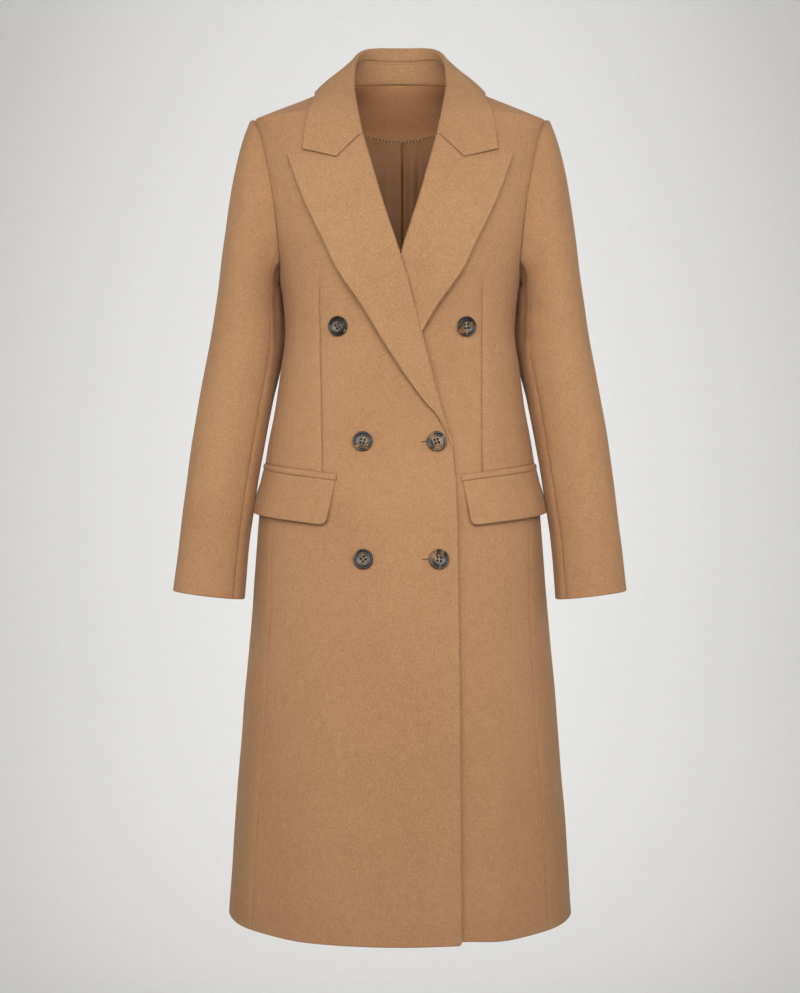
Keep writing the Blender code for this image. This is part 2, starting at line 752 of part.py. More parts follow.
def swing(turn, v):
    """How far the front seam, and less and less what is beside it, has turned in under the arm."""
    away = np.abs((turn - FRONT_SEAM + 180) % 360 - 180)
    swung = SWUNG_CAP * ease(v / 0.6) - SWUNG_BACK * ease((v - 1.1) / 0.9)
    return swung * np.clip(1 - away / SWING_REACH, 0, 1)


def sleeve(turn, v):
    """The left sleeve: v from 0 to 100 is the cap, from the armhole down to the underarm, and 100
    to 200 the arm. The cap's lines are Bezier curves that leave the armhole along the body, and
    beside the shoulder's tip they are raised, steeply at the seam and less and less after it."""
    turn, v = np.broadcast_arrays(np.asarray(turn, float), v / LAPEL_UNIT)
    turn = turn + swing(turn, v)
    cap = np.clip(v, -0.2, 1)[..., None]
    first_way = leaving(turn)
    start = armhole(turn) + GAP * first_way
    end = sleeve_ring(turn, np.full_like(turn, CAP_BOTTOM))
    below = sleeve_ring(turn, np.full_like(turn, CAP_BOTTOM - 10))
    reach = np.linalg.norm(end - start, axis=-1, keepdims=True)
    first = start + first_way * reach * (0.3 - 0.085 * np.cos(np.radians(turn)))[..., None]
    last = end - unit(below - end) * reach * 0.41
    lines = (1 - cap) ** 3 * start + 3 * cap * (1 - cap) ** 2 * first
    lines = lines + 3 * cap**2 * (1 - cap) * last + cap**3 * end
    away = (turn[..., None] + 180) % 360 - 180
    raised = (1 - np.exp(-np.clip(cap, 0, 1) / HEAD_RISE)) * np.exp(-cap / HEAD_FADE) * (1 - cap)
    raised = SLEEVE_HEAD * raised * np.exp(-((away / HEAD_TURN) ** 2))
    lines = lines + raised * HEAD_WAY
    height = CAP_BOTTOM + (CUFF - CAP_BOTTOM) * np.clip(v - 1, 0, 1.02)
    return np.where(v[..., None] <= 1, lines, sleeve_ring(turn, height))


def leaving(turn):
    """The way the left sleeve leaves the armhole: out and down, and to the front or back."""
    t = np.radians(turn)
    return unit(np.stack([0.8 - 0.15 * np.cos(t), -0.35 * np.sin(t), -0.55 - 0.2 * np.cos(t)], axis=-1))


def sleeve_pieces(side):
    """The top sleeve over the shoulder and arm, and the under sleeve between the same two seams."""
    gap = np.degrees(GAP / 2 / 35)
    front = turn_at(np.array([UNDERARM, -200, -172, -145, -118, -90, -68, -54, SHOULDER_TIP]), True)
    back = turn_at(np.array([-64, -90, -125, -160, SLEEVE_SEAM_BACK]), False) - 360
    under = np.concatenate([spread(135, 225, 7), [back[-1] + 360]])
    ranges = {"top": np.concatenate([front, back])[::-1], "under": under}
    for part, turns in ranges.items():
        turns[0], turns[-1] = turns[0] + gap, turns[-1] - gap
        turn, v = grid(turns, np.concatenate([[0, 3, 9, 20, 36, 55, 77], spread(100, 200, 10)]))
        shown, hidden = sleeve(turn, v), moved_out(sleeve, turn, v, -WOOL)
        flip = np.array([side, 1, 1])
        word = "right" if side == RIGHT else "left"
        wall(f"sleeve_{part}_{word}", shown * flip, hidden * flip)


FLAP = columns(
    "corner angle height",
    [(0, 34.0, -515.5), (1, 83.0, -500.0)],
)
FLAP_DROP = 56.0
FLAP_BOTTOM_SHIFT = 2.0
WELT_HEIGHT = 7.0


def on_side(angle, height, out, side):
    """A point on one side's front, following its tuck."""
    across = body(side * angle, height)[..., 0]
    return on_body(side * angle, height, out - tuck(across, height, side))


def pocket(side):
    """The flap, which hangs a little free of the front, and the narrow welt above it."""
    word = "right" if side == RIGHT else "left"
    share, along = grid(spread(0, 1, 12), [0, 0.25, 0.5, 0.75, 0.92, 1])
    angle = FLAP["angle"][0] + (FLAP["angle"][1] - FLAP["angle"][0]) * share + FLAP_BOTTOM_SHIFT * along
    top = FLAP["height"][0] + (FLAP["height"][1] - FLAP["height"][0]) * share
    round_off = 4.0 * ease((0.06 - share) / 0.06) * ease((along - 0.9) / 0.1)
    height = top - FLAP_DROP * along + round_off
    off = WOOL + GAP + (2.0 + 3.5 * share) * ease(along)
    wall(
        f"pocket_flap_{word}",
        on_side(angle, height, off, side),
        on_side(angle, height, off - WOOL, side),
    )
    share, along = grid(spread(-0.012, 1.0, 12), [0, 1])
    angle = FLAP["angle"][0] + (FLAP["angle"][1] - FLAP["angle"][0]) * share
    top = FLAP["height"][0] + (FLAP["height"][1] - FLAP["height"][0]) * share
    height = top + GAP + WELT_HEIGHT * along
    off = 0 * share + 1.5 + GAP
    wall(
        f"pocket_welt_{word}",
        on_side(angle, height, off, side),
        on_side(angle, height, off - 1.5, side),
    )


BUTTON_PROFILE = columns(
    "radius height",
    [(0, 3.0), (6.5, 3.0), (8.6, 3.9), (10.8, 4.2), (12.5, 3.0), (12.3, 1.2), (9.0, 0.0), (0, 0.0)],
)
BUTTON_HOLE_RADIUS, BUTTON_HOLE_SPACING = 1.1, 2.3
BUTTON_STANDOFF = 1.1


def button_mesh():
    """A turned disc with a raised rim and four sewing holes."""
    profile = bpy.data.meshes.new("button_profile")
    radius, rise = BUTTON_PROFILE["radius"], BUTTON_PROFILE["height"]
    points = np.stack([radius, 0 * radius, rise], axis=-1)
    edges = [(i, i + 1) for i in range(len(points) - 1)]
    profile.from_pydata((points * MM).tolist(), edges, [])
    turned = bpy.data.objects.new("button_turned", profile)
    bpy.data.collections["cutters"].objects.link(turned)
    screw = turned.modifiers.new("turn", "SCREW")
    screw.steps = screw.render_steps = 16
    screw.use_merge_vertices = True
    screw.merge_threshold = 0.0001
    for k in range(4):
        spot = (np.array([k // 2, k % 2]) - 0.5) * 2 * BUTTON_HOLE_SPACING * MM
        hole = bpy.data.meshes.new(f"button_hole_{k}")
        shape = bmesh.new()
        bmesh.ops.create_cone(
            shape,
            cap_ends=True,
            segments=5,
            radius1=BUTTON_HOLE_RADIUS * MM,
            radius2=BUTTON_HOLE_RADIUS * MM,
            depth=12 * MM,
        )
        shape.to_mesh(hole)
        shape.free()
        cutter = bpy.data.objects.new(f"button_hole_{k}", hole)
        cutter.location = (spot[0], spot[1], 0)
        bpy.data.collections["cutters"].objects.link(cutter)
        cut = turned.modifiers.new(f"hole_{k}", "BOOLEAN")
        cut.operation = "DIFFERENCE"
        cut.object = cutter
    for helper in bpy.data.collections["cutters"].objects:
        helper.hide_render = True
        helper.display_type = "WIRE"
    bpy.context.view_layer.update()
    graph = bpy.context.evaluated_depsgraph_get()
    mesh = bpy.data.meshes.new_from_object(turned.evaluated_get(graph))
    for helper in list(bpy.data.collections["cutters"].objects):
        bpy.data.objects.remove(helper)
    finish(mesh)
    return mesh


def buttons():
    """Six buttons, each on the outer cloth and square to it."""
    shape = button_mesh()
    for name, (x, height) in BUTTONS.items():
        side = LEFT if name == "button_upper_left" else RIGHT
        angle = angle_at(np.array(x), height)
        e = np.array([[-6.0, 0], [6, 0], [0, -6], [0, 6]])
        near = on_side(angle_at(side * (x + e[:, 0]), height + e[:, 1]), height + e[:, 1], 0.0, side)
        outward = unit(np.cross(near[1] - near[0], near[3] - near[2]))
        base = on_side(side * angle, height, 0.0, side) + BUTTON_STANDOFF * outward
        across = unit(np.cross(np.array([0.0, 0.0, 1.0]), outward))
        up = np.cross(outward, across)
        mesh = shape.copy()
        mesh.name = name
        button = place(name, mesh)
        button.location = base * MM
        button.rotation_euler = Matrix(np.array([across, up, outward]).T.tolist()).to_euler()


def start():
    """Clears the scene and makes the collections."""
    for thing in list(bpy.data.objects):
        bpy.data.objects.remove(thing)
    for name in ("coat", "cutters"):
        bpy.context.scene.collection.children.link(bpy.data.collections.new(name))


def main():
    start()
    for side in (RIGHT, LEFT):
        front_panel(side)
        side_panel(side)
        back_panel(side)
        lapel_piece(side)
        sleeve_pieces(side)
        pocket(side)
    collar_pieces()
    neck_facing()
    lining()
    buttons()


main()
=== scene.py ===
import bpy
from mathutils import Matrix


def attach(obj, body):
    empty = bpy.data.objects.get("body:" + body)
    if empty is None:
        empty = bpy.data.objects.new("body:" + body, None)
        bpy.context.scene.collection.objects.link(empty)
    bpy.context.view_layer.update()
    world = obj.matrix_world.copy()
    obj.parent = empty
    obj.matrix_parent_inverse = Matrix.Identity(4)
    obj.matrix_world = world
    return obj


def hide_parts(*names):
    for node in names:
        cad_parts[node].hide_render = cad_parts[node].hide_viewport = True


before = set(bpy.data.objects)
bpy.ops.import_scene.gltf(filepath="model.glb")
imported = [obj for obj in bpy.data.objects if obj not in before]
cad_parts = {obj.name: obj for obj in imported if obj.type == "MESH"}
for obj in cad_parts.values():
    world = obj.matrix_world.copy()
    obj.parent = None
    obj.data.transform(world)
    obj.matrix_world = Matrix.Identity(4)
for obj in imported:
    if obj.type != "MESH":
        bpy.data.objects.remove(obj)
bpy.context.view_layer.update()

"""The looks of a long double-breasted wool coat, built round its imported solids.

Sizes are in millimetres and become metres when a mesh is made: +Z is up, the front faces -Y, and
the wearer's right is at -X. Each piece of cloth is a surface of two parameters, with its seams,
turned edges and creases worked into it, and the cloth's thickness behind it.
"""

import bpy
import numpy as np

MM = 0.001

# Cloth
WOOL = 2.0  # thickness of the outer cloth
TURNED = 1.4  # what a hem or a facing adds behind an edge
HEM_WIDTH = 40.0  # of the cloth turned up inside the hem and the cuffs
FACING_WIDTH = 60.0  # of the cloth turned in behind the front edge
LAPEL_TURN, EDGE_TURN = 14.0, 12.0  # the same behind the lapel's edge, and the collar's and flaps'
FACING_TURN = 8.0  # the same behind the neck facing's lower edge
LAPEL_THIN, LAPEL_MORE = 0.8, 1.1  # the lapel's thickness at the break, and what it gains above that
FALL_THICK, FACING_THICK, FLAP_THICK, WELT_THICK = 1.8, 1.6, 1.6, 1.5  # these are pressed thinner
SATIN = 1.0  # thickness of the lining
GAP = 0.3  # between neighbouring pieces
INSIDE = WOOL + 1.0  # from the shown face to where the facing and the lining are worked from
RIGHT, LEFT = -1, 1  # the wearer's sides, as the sign of X
WORD = {RIGHT: "right", LEFT: "left"}

# Main sizes
HEM = -1080.0
LOW_SKIRT = -950.0  # from here down the cloth is lifted, to give the hem its line
HIP = -560.0  # from here down the skirt's waves grow
SHOULDER_TIP = -46.0
SHOULDER_HALF_WIDTH = 187.0
NECK_HALF_WIDTH = 75.0
BACK_NECK_RISE = 13.5
FACING_DEPTH = 56.0  # of the back neck facing below the origin, at the centre back
ROLL = 3.5  # radius of the shown face where the lapels and collar turn over
BREAK = -474.0  # height at which the lapels start to turn
FACING_RETURN = 42.0  # width of the lapel cloth that turns inside the front
UNDERARM = -228.0  # where the side panel's seams meet the armhole
SIDE_TURNS = (135.0, 225.0)  # the turns round the armhole at which its two seams do
HEM_CORNER = 5.0  # radius of the front's lower corner
CAP_BOTTOM, CUFF = -272.0, -661.0

SEAM_ROLL, FINE_ROLL = 1.15, 0.6  # over how much the cloth turns in at a seam, and at a pressed one
SEAM_DEPTH = 1.7  # how much deeper than wide that turn is
# Places beside a seam or an edge, in mm from it, where the cloth bends
NEAR = np.array([0, 0.25, 0.6, 1.1, 1.8, 2.7, 4.0, 6.5, 10.0])


def columns(names, rows):
    """A short table as a dict of arrays, one for each named column."""
    return dict(zip(names.split(), np.array(rows, float).T))


# Cross-sections of the body. Each is a rounded oval: half its width, its depth to the front and to
# the back of the side points, where those are in Y, and how square it is (2 is an ellipse).
BODY = columns(
    "height width front back middle squareness",
    [
        (-1080, 223, 179, 160, 0, 2.00),
        (-930, 212, 167, 150, 0, 2.00),
        (-800, 202, 156, 141, 0, 2.00),
        (-700, 193, 148, 134, 0, 2.05),
        (-558, 182, 136, 124, 0, 2.10),
        (-491, 174, 126, 113, 0, 2.20),
        (-415, 161, 117, 97, 0, 2.25),
        (-370, 155, 118, 92, 0, 2.28),
        (-320, 149, 120, 88, 0, 2.30),
        (-248, 156, 128, 100, 0, 2.40),
        (-210, 166, 124, 106, 1, 2.40),
        (-160, 177, 114, 109, 2, 2.35),
        (-100, 185, 98, 105, 3, 2.30),
        (-46, 187, 76, 94, 4, 2.20),
        (-20, 187, 56, 79, 4, 2.10),
        (0, 187, 38, 66, 4, 2.00),
        (12, 187, 32, 60, 4, 2.00),
    ],
)

# The armhole seen from the side, round from the shoulder tip to the front.
ARMHOLE = columns(
    "turn y height",
    [
        (0.0, 4, -46),
        (22.5, -14, -56),
        (45.0, -30, -78),
        (67.5, -44, -110),
        (90.0, -54, -150),
        (112.5, -58, -190),
        (135.0, -50, -228),
        (157.5, -28, -251),
        (180.0, 2, -258),
        (202.5, 32, -251),
        (225.0, 52, -228),
        (247.5, 59, -185),
        (270.0, 57, -143),
        (292.5, 48, -105),
        (315.0, 36, -76),
        (337.5, 20, -55),
        (360.0, 4, -46),
    ],
)

# Where the seams of the side panel run, as angles from the centre front.
SIDE_SEAMS = columns(
    "height front back",
    [
        (-1080, 61, 122),
        (-800, 63, 121),
        (-700, 64, 120),
        (-558, 69, 119),
        (-491, 72, 118),
        (-415, 75, 116),
        (-320, 76, 113),
    ],
)

# The front edge, up the roll line and then the neckline. Across is towards the panel's own side.
FRONT_EDGE = columns(
    "height across",
    [
        (-1080, -75.0),
        (-690, -72.4),
        (-542, -70.0),
        (-500, -68.0),
        (-470, -65.0),
        (-450, -59.6),
        (-330, -26.8),
        (-244, -3.7),
        (-160, 23.6),
        (-80.5, 46.0),
        (-50, 58.0),
        (-25, 67.5),
        (-5, 73.0),
    ],
)

EDGE_LIFT = 2.6  # how far the right front's edge springs off the left front
# How far the left front lies inside the right one's edge, and over what width it comes out again.
TUCK = columns(
    "height depth width",
    [(-1080, 6.6, 60), (-560, 6.6, 60), (-450, 8.6, 65), (-380, 9.6, 70), (-200, 9.6, 70), (-60, 6, 70)],
)

# The lapel's outer edge, from the break to the peak.
LAPEL_EDGE = columns(
    "across height",
    [
        (-64.6, -474),
        (-58.4, -457),
        (-48.3, -436),
        (-29.3, -414),
        (-4.1, -380),
        (21.1, -340),
        (46.5, -295),
        (76.7, -249),
        (89.4, -222),
        (115.4, -168),
        (141.3, -101.5),
    ],
)
GORGE_START = (46.0, -80.5)  # across, height, where the collar meets the lapel at the roll line
NOTCH = (78.2, -111.0)
NOTCH_SHARE = 0.42  # of the lapel's top edge, at which the collar's end meets it
COLLAR_TIP = (120.0, -99.5)
COLLAR_END = ((GORGE_START[0] + ROLL, GORGE_START[1] + 0.5), (NOTCH[0] + 0.4, NOTCH[1] + 0.5), COLLAR_TIP)
COLLAR_CLEARANCE = 4.6  # in Y, between the body's face and the shown face of the collar's front
LAID_FROM = 0.6  # the place along the collar from which it starts to lie flat on the body

# The collar, from the centre back (0) to its front end (1): the fold at its top.
COLLAR_FOLD = columns(
    "along x y z",
    [
        (0.00, 0, 57, 61),
        (0.15, 24, 54, 60.5),
        (0.30, 44, 41, 56),
        (0.45, 55, 18, 43),
        (0.60, 58.5, -8, 22),
        (0.75, 58.5, -34, -8),
        (0.88, 54, -62.5, -40),
    ],
)
# The collar's outer edge and its neck seam, as places on the body: angle from the front, height.
COLLAR_EDGE = columns(
    "along angle height",
    [
        (0.00, 180, -6),
        (0.20, 158, -7),
        (0.40, 130, -9),
        (0.52, 105, -10),
        (0.61, 88, -13),
        (0.70, 70, -26),
        (0.80, 61.5, -45),
        (0.90, 58.5, -72),
    ],
)
NECK_SEAM = columns(
    "along angle height",
    [
        (0.00, 180, 14.3),
        (0.20, 155, 13.3),
        (0.40, 118, 8),
        (0.55, 90, 1),
        (0.70, 57, -18),
        (0.85, 40, -45),
    ],
)
COLLAR_BULGE = columns("along out", [(0.0, 5), (0.35, 6), (0.55, 5), (0.7, 6), (0.85, 6), (1.0, 2)])
STAND_SHARE, STAND_GROWS = 0.67, 0.13  # of the height from neck seam to fold: behind, and more in front

# The lower edge of the back neck facing, as angle from the front and height.
FACING_EDGE = columns(
    "angle height",
    [(100, -10), (112, -19), (130, -33), (146, -43), (157, -49.5), (168, -54), (180, -FACING_DEPTH)],
)

# The sleeve below its cap: outer and inner side in X, half its depth, its middle in Y, and how far
# the back of its inner side is pressed towards the body, which it hangs against down to the elbow.
SLEEVE = columns(
    "height outer inner half_depth middle press",
    [
        (-670, 291.5, 199.6, 44, -36, 0),
        (-592, 282.7, 193.6, 47, -31, 0),
        (-520, 274.5, 184.2, 50, -23, 0),
        (-470, 268.4, 176.0, 54, -16, 0),
        (-410, 259.7, 165.5, 58, -8, 3),
        (-370, 253.0, 158.2, 61, -3, 7.5),
        (-332, 246.3, 153.2, 63, 0, 11),
        (-272, 237.2, 154.6, 67, 2, 7),
    ],
)
SLEEVE_SEAM_BACK = -195.0  # height on the armhole at which the sleeve's back seam starts
ALLOWANCE = 4.0  # how far the sleeve's seam allowance runs on behind the body's cloth
TIP_FILL = 0.9  # how far the head's seam stands up at the shoulder's tip, level with the shoulder
SEAM_GROOVE = 2.6  # how deep the sleeve's long seams are drawn in
UNDER_DROP = 1.3  # how far the under sleeve lies below the top sleeve beside their front seam
CUFF_SLANT = 11.0  # how much lower the cuff is at its inner side
SLEEVE_HEAD, HEAD_TURN = 7.0, 60.0  # how far the sleeve's head stands up, and over what turn
HEAD_RISE, HEAD_FADE = 0.005, 0.25  # shares of the cap over which the head rises and is lost again
HEAD_WAY = np.array([0.9, 0.0, 0.2])  # out and up
FRONT_SEAM, SWING_REACH = 135.0, 60.0  # turn of the sleeve's front seam, and what swings with it
SWUNG_CAP, SWUNG_BACK = 5.5, 1.5  # turned in by the cap's end, and out again down to the cuff

# Broad soft waves of the skirt, at the hem: angle from the front, how far out, and their width.
WAVES = columns(
    "angle out width",
    [(-150, 5, 15), (-112, -4, 12), (-66, 3.5, 9), (66, 4, 10), (108, -4, 12), (146, 5, 16), (180, -3, 12)],
)

DART_ENDS = (-508, -262)  # heights between which the darts are sewn
# The bust darts, from the pocket welts up: height, and how far across on each side.
DART = columns("height right left", [(-505, 97.0, 104.8), (-400, 99.5, 104.0), (-267, 101.6, 103.5)])

BODY_DEGREE, ARM_DEGREE = 2.8, 0.85  # mm for a degree round the body and round the arm
# Soft creases of the body, as lines between two places: angle and height, how far out, half width.
BODY_CREASES = columns(
    "angle_a height_a angle_b height_b out width",
    [
        (-58, -300, -40, -250, -0.9, 12),
        (-66, -395, -50, -350, 0.8, 14),
        (57, -305, 41, -255, -0.9, 13),
        (66, -400, 50, -352, 0.7, 13),
        (-40, -700, -44, -960, 0.9, 22),
        (36, -760, 42, -1000, 0.9, 24),
        (-17, -640, -16, -900, -0.8, 26),
        (150, -250, 158, -420, 1.6, 14),
        (-148, -240, -157, -410, 1.5, 15),
        (166, -380, 160, -540, -1.4, 12),
        (-167, -370, -160, -560, -1.3, 13),
        (96, -330, 92, -430, -1.2, 11),
        (-97, -325, -90, -440, -1.2, 11),
        (128, -120, 112, -205, -1.5, 10),
        (-127, -125, -113, -210, -1.4, 10),
    ],
)

# Soft creases of the sleeve, as lines between two places: turn and height, how far out, half width.
SLEEVE_CREASES = columns(
    "turn_a height_a turn_b height_b out width",
    [
        (40, -150, 75, -215, -1.3, 13),
        (25, -215, 62, -262, 1.0, 12),
        (108, -176, 142, -232, -2.5, 6),
        (150, -205, 157, -335, -5.5, 8),
        (95, -305, 165, -285, -1.6, 9),
        (110, -340, 170, -322, -1.2, 8),
        (60, -420, 130, -405, -1.1, 12),
        (20, -455, 66, -475, 0.9, 15),
        (75, -520, 125, -500, -0.9, 11),
        (35, -560, 70, -600, -0.7, 16),
        (215, -425, 285, -400, -1.8, 10),
        (225, -455, 290, -445, -1.5, 9),
        (300, -330, 335, -380, 1.2, 14),
        (300, -120, 330, -190, -1.3, 12),
        (200, -300, 250, -330, -1.5, 10),
        (290, -500, 335, -540, -0.9, 14),
    ],
)

# The lining, from the top down: soft folds as place across, how far in, width, and how much that
# widens and moves across by the hem.
LINING_FOLDS = columns(
    "across depth width spread drift",
    [
        (-96, 4.0, 12, 1.5, -8),
        (-62, 3.0, 9, 1.6, -6),
        (-31, 3.5, 9, 1.6, -5),
        (-14, -1.0, 7, 1.5, -2),
        (16, 4.5, 6, 1.7, 3),
        (27, -2.4, 5, 1.7, 5),
        (39, 3.0, 7, 1.6, 6),
        (60, 3.0, 11, 1.5, 7),
        (92, 4.0, 12, 1.5, 8),
    ],
)
PLEAT_RISE, PLEAT_FALL = 4.0, 7.6  # of the centre back pleat: its lapped edge and the groove beside it
FACING_OUT, LINING_OUT = 2.2, 2.0  # how far the facing and the lining's top stand off the wool
LINING_CLEAR = 1.0  # least distance the lining keeps from the wool
GATHER_SPACING, GATHER_DEPTH = 4.6, 0.7  # puckers where the lining is sewn to the facing

# Pocket flaps: their top corners as angle from the front and height.
FLAP = columns("corner angle height", [(0, 34.0, -515.5), (1, 83.0, -500.0)])
FLAP_DROP, FLAP_BOTTOM_SHIFT = 56.0, 2.0
FLAP_PITCH = 118.0  # spaces the flap's columns and rounds its corners; its real length is about 160
FLAP_CORNERS = (8.0, 3.0)  # radius at the front and at the back
WELT_HEIGHT = 7.0

# Buttons: place across and height, and how far each is turned.
BUTTONS = {
    "button_upper_right": (-76.2, -323.0, 28),
    "button_upper_left": (82.3, -323.0, 8),
    "button_middle_right": (-46.0, -467.0, -12),
    "button_middle_left": (45.0, -467.0, 19),
    "button_lower_right": (-44.7, -612.0, 40),
    "button_lower_left": (47.5, -612.0, -6),
}
BUTTON_PROFILE = columns(
    "radius height",
    [
        (0.0, 2.35),
        (3.0, 2.4),
        (6.0, 2.7),
        (8.3, 3.25),
        (9.1, 3.05),
        (9.6, 3.35),
        (10.6, 4.1),
        (11.5, 4.15),
        (12.2, 3.6),
        (12.5, 2.7),
        (12.45, 1.9),
        (11.8, 1.0),
        (9.0, 0.25),
        (4.0, 0.0),
        (0.0, 0.0),
    ],
)
BUTTON_STANDOFF = 1.1
HOLE_RADIUS, HOLE_SPACING, HOLE_DEPTH = 1.25, 4.4, 2.2
BUTTONHOLE_START = 25.5  # across, where the two worked buttonholes that show begin

# The camera stands straight in front, level with the middle of the picture.
CAMERA_DISTANCE, CAMERA_HEIGHT = 2.5, -0.535
PICTURE = (800, 993)
MM_PER_PIXEL = 1.3  # at the coat's middle, Y = 0

NAP = 1.6  # width of the wool's tufts as drawn
SKY_COLOUR, SKY_STRENGTH = (1.0, 0.94, 0.87, 1), 0.17
# Lights: place and aim in metres, then side in metres, power in watts and spread in degrees.
LIGHTS = {
    "key": ((0, -2.7, 0.35), (0, 0, -0.42), 1.8, 7.8, 56),
    "fill_right": ((-1.35, -2.5, 0.1), (0, 0, -0.3), 1.3, 4.0, 75),
    "fill_left": ((1.35, -2.5, 0.1), (0, 0, -0.3), 1.3, 4.0, 75),
    "side_right": ((-1.9, -0.2, -0.1), (0, 0.2, -0.3), 1.3, 4.2, 130),
    "side_left": ((1.9, -0.2, -0.1), (0, 0.2, -0.3), 1.3, 4.2, 130),
    "paper_top": ((0, 1.9, 1.9), (0, 3.7, -0.9), 2.6, 24, 120),
    "paper_low": ((0, 1.0, -1.8), (0, 3.7, -0.5), 1.4, 23, 120),
}


# ---------------------------------------------------------------- arithmetic on whole grids


def smooth(table, column, at, along="height"):
    """The column's value at each place: a cubic through the rows that never overshoots them, and a
    straight line past its ends."""
    x, y = table[along], table[column]
    if x[0] > x[-1]:
        x, y = x[::-1], y[::-1]
    step = np.diff(x)
    rise = np.diff(y) / step
    same_way = rise[:-1] * rise[1:] > 0
    total = np.where(same_way, rise[:-1] + rise[1:], 1.0)
    inner = np.where(same_way, 2 * rise[:-1] * rise[1:] / total, 0.0)
    slope = np.concatenate([rise[:1], inner, rise[-1:]])
    held = np.clip(at, x[0], x[-1])
    i = np.clip(np.searchsorted(x, held, side="right") - 1, 0, len(x) - 2)
    t = (held - x[i]) / step[i]
    curve = y[i] * (1 + 2 * t) * (1 - t) ** 2 + y[i + 1] * t * t * (3 - 2 * t)
    curve = curve + step[i] * t * (1 - t) * (slope[i] * (1 - t) - slope[i + 1] * t)
    return curve + (at - held) * np.where(at < held, slope[0], slope[-1])


def ease(t):
    """From 0 to 1, level at both ends."""
    t = np.clip(t, 0.0, 1.0)
    return t * t * (3 - 2 * t)


def unit(vectors):
    """Vectors brought to length 1."""
    return vectors / np.linalg.norm(vectors, axis=-1, keepdims=True)


def run(low, high, step):
    """Even places from low to high, about a step apart."""
    return np.linspace(low, high, max(2, int(np.ceil(abs(high - low) / step)) + 1))


def moved_out(surface, u, v, out):
    """Points of a surface of two parameters, moved out along its normal."""
    e = 0.01
    along_u = surface(u + e, v) - surface(u - e, v)
    along_v = surface(u, v + e) - surface(u, v - e)
    return surface(u, v) + np.asarray(out)[..., None] * unit(np.cross(along_u, along_v))


def along_line(table, names, a, b):
    """For every point of a grid in mm, how much each crease of a table lifts it: a bell across the
    line from one end to the other, which fades past both ends."""
    out = 0.0
    for a1, b1, a2, b2, size, width in zip(*(table[name] for name in names)):
        way = np.array([a2 - a1, b2 - b1])
        length = np.hypot(*way)
        t = ((a - a1) * way[0] + (b - b1) * way[1]) / length**2
        off = ((a - a1) * way[1] - (b - b1) * way[0]) / length
        fade = ease((t + 0.25) / 0.5) * ease((1.25 - t) / 0.5)
        out = out + size * np.exp(-((off / (width * (0.75 + 0.5 * t))) ** 2)) * fade
    return out


def creases(table, kind, mm_per_degree, angle, height):
    """What a table of creases lifts each point, with its angles and the grid's turned into mm."""
    scaled = dict(table)
    for end in (f"{kind}_a", f"{kind}_b"):
        scaled[end] = table[end] * mm_per_degree
    names = f"{kind}_a height_a {kind}_b height_b out width".split()
    return along_line(scaled, names, angle * mm_per_degree, height)


def reached_by(steps):
    """The length at the start and after each step."""
    return np.concatenate([[0], np.cumsum(steps)])


UNDULATION = np.random.default_rng(7)
WAVE_COUNT = 9
WAVE_WAYS = unit(UNDULATION.normal(size=(WAVE_COUNT, 3)))
WAVE_LENGTHS = UNDULATION.uniform(60, 170, WAVE_COUNT)
WAVE_PHASES = UNDULATION.uniform(0, 2 * np.pi, WAVE_COUNT)


def unevenness(points):
    """How far soft cloth strays from its form: a few long waves in fixed random directions."""
    phase = points @ (WAVE_WAYS / WAVE_LENGTHS[:, None]).T * 2 * np.pi + WAVE_PHASES
    return (np.sin(phase) * (WAVE_LENGTHS / 170)).sum(-1) * 0.22


# ---------------------------------------------------------------- the coat's form


def half_width(height):
    """Half the body's width: the sides, then along the slope of the shoulders to the neck."""
    slope = (SHOULDER_HALF_WIDTH - NECK_HALF_WIDTH) / -SHOULDER_TIP
    over_shoulder = NECK_HALF_WIDTH - slope * np.minimum(height, 0) - 1.2 * np.maximum(height, 0)
    return np.minimum(smooth(BODY, "width", height), over_shoulder)


def waves(angle, height):
    """The skirt's soft waves, which grow from the hip to the hem."""
    grown = ease((HIP - height) / (HIP - HEM))
    out = 0.0
    for centre, size, width in zip(WAVES["angle"], WAVES["out"], WAVES["width"]):
        away = (angle - centre + 180) % 360 - 180
        out = out + size * np.exp(-((away / width) ** 2))
    return out * grown


def body(angle, height):
    """The form itself: a rounded oval at each height, by the angle from the centre front."""
    a = np.radians(angle)
    depth = np.where(np.cos(a) > 0, smooth(BODY, "front", height), smooth(BODY, "back", height))
    n = smooth(BODY, "squareness", height)
    radius = (np.abs(np.sin(a) / half_width(height)) ** n + np.abs(np.cos(a) / depth) ** n) ** (-1 / n)
    radius = radius + waves(angle, height)
    y = smooth(BODY, "middle", height) - radius * np.cos(a)
    return np.stack([radius * np.sin(a), y, height + 0 * radius], axis=-1)


def on_body(angle, height, out=0.0):
    """A point on the form, moved out along its normal."""
    angle, height, out = np.broadcast_arrays(angle, height, out)
    return moved_out(body, angle, height, out)


def angle_at(x, height):
    """The angle of the front point that is x across at this height."""
    width, depth = half_width(height), smooth(BODY, "front", height)
    n = smooth(BODY, "squareness", height)
    forward = depth * (1 - np.clip(np.abs(x) / width, 0, 0.9999) ** n) ** (1 / n)
    return np.degrees(np.arctan2(x, forward))


def angle_from_y(y, height):
    """The angle of the side point that is at y and this height."""
    forward = smooth(BODY, "middle", height) - y
    depth = np.where(forward > 0, smooth(BODY, "front", height), smooth(BODY, "back", height))
    n = smooth(BODY, "squareness", height)
    across = half_width(height) * (1 - np.clip(np.abs(forward) / depth, 0, 0.9999) ** n) ** (1 / n)
    return np.degrees(np.arctan2(across, forward))


def tuck(x, height, side):
    """How far a side's front lies inside the form: the left one passes under the right one."""
    if side == RIGHT:
        return 0.0 * x
    edge = -smooth(FRONT_EDGE, "across", height)
    return smooth(TUCK, "depth", height) * (1 - ease((x - edge) / smooth(TUCK, "width", height)))


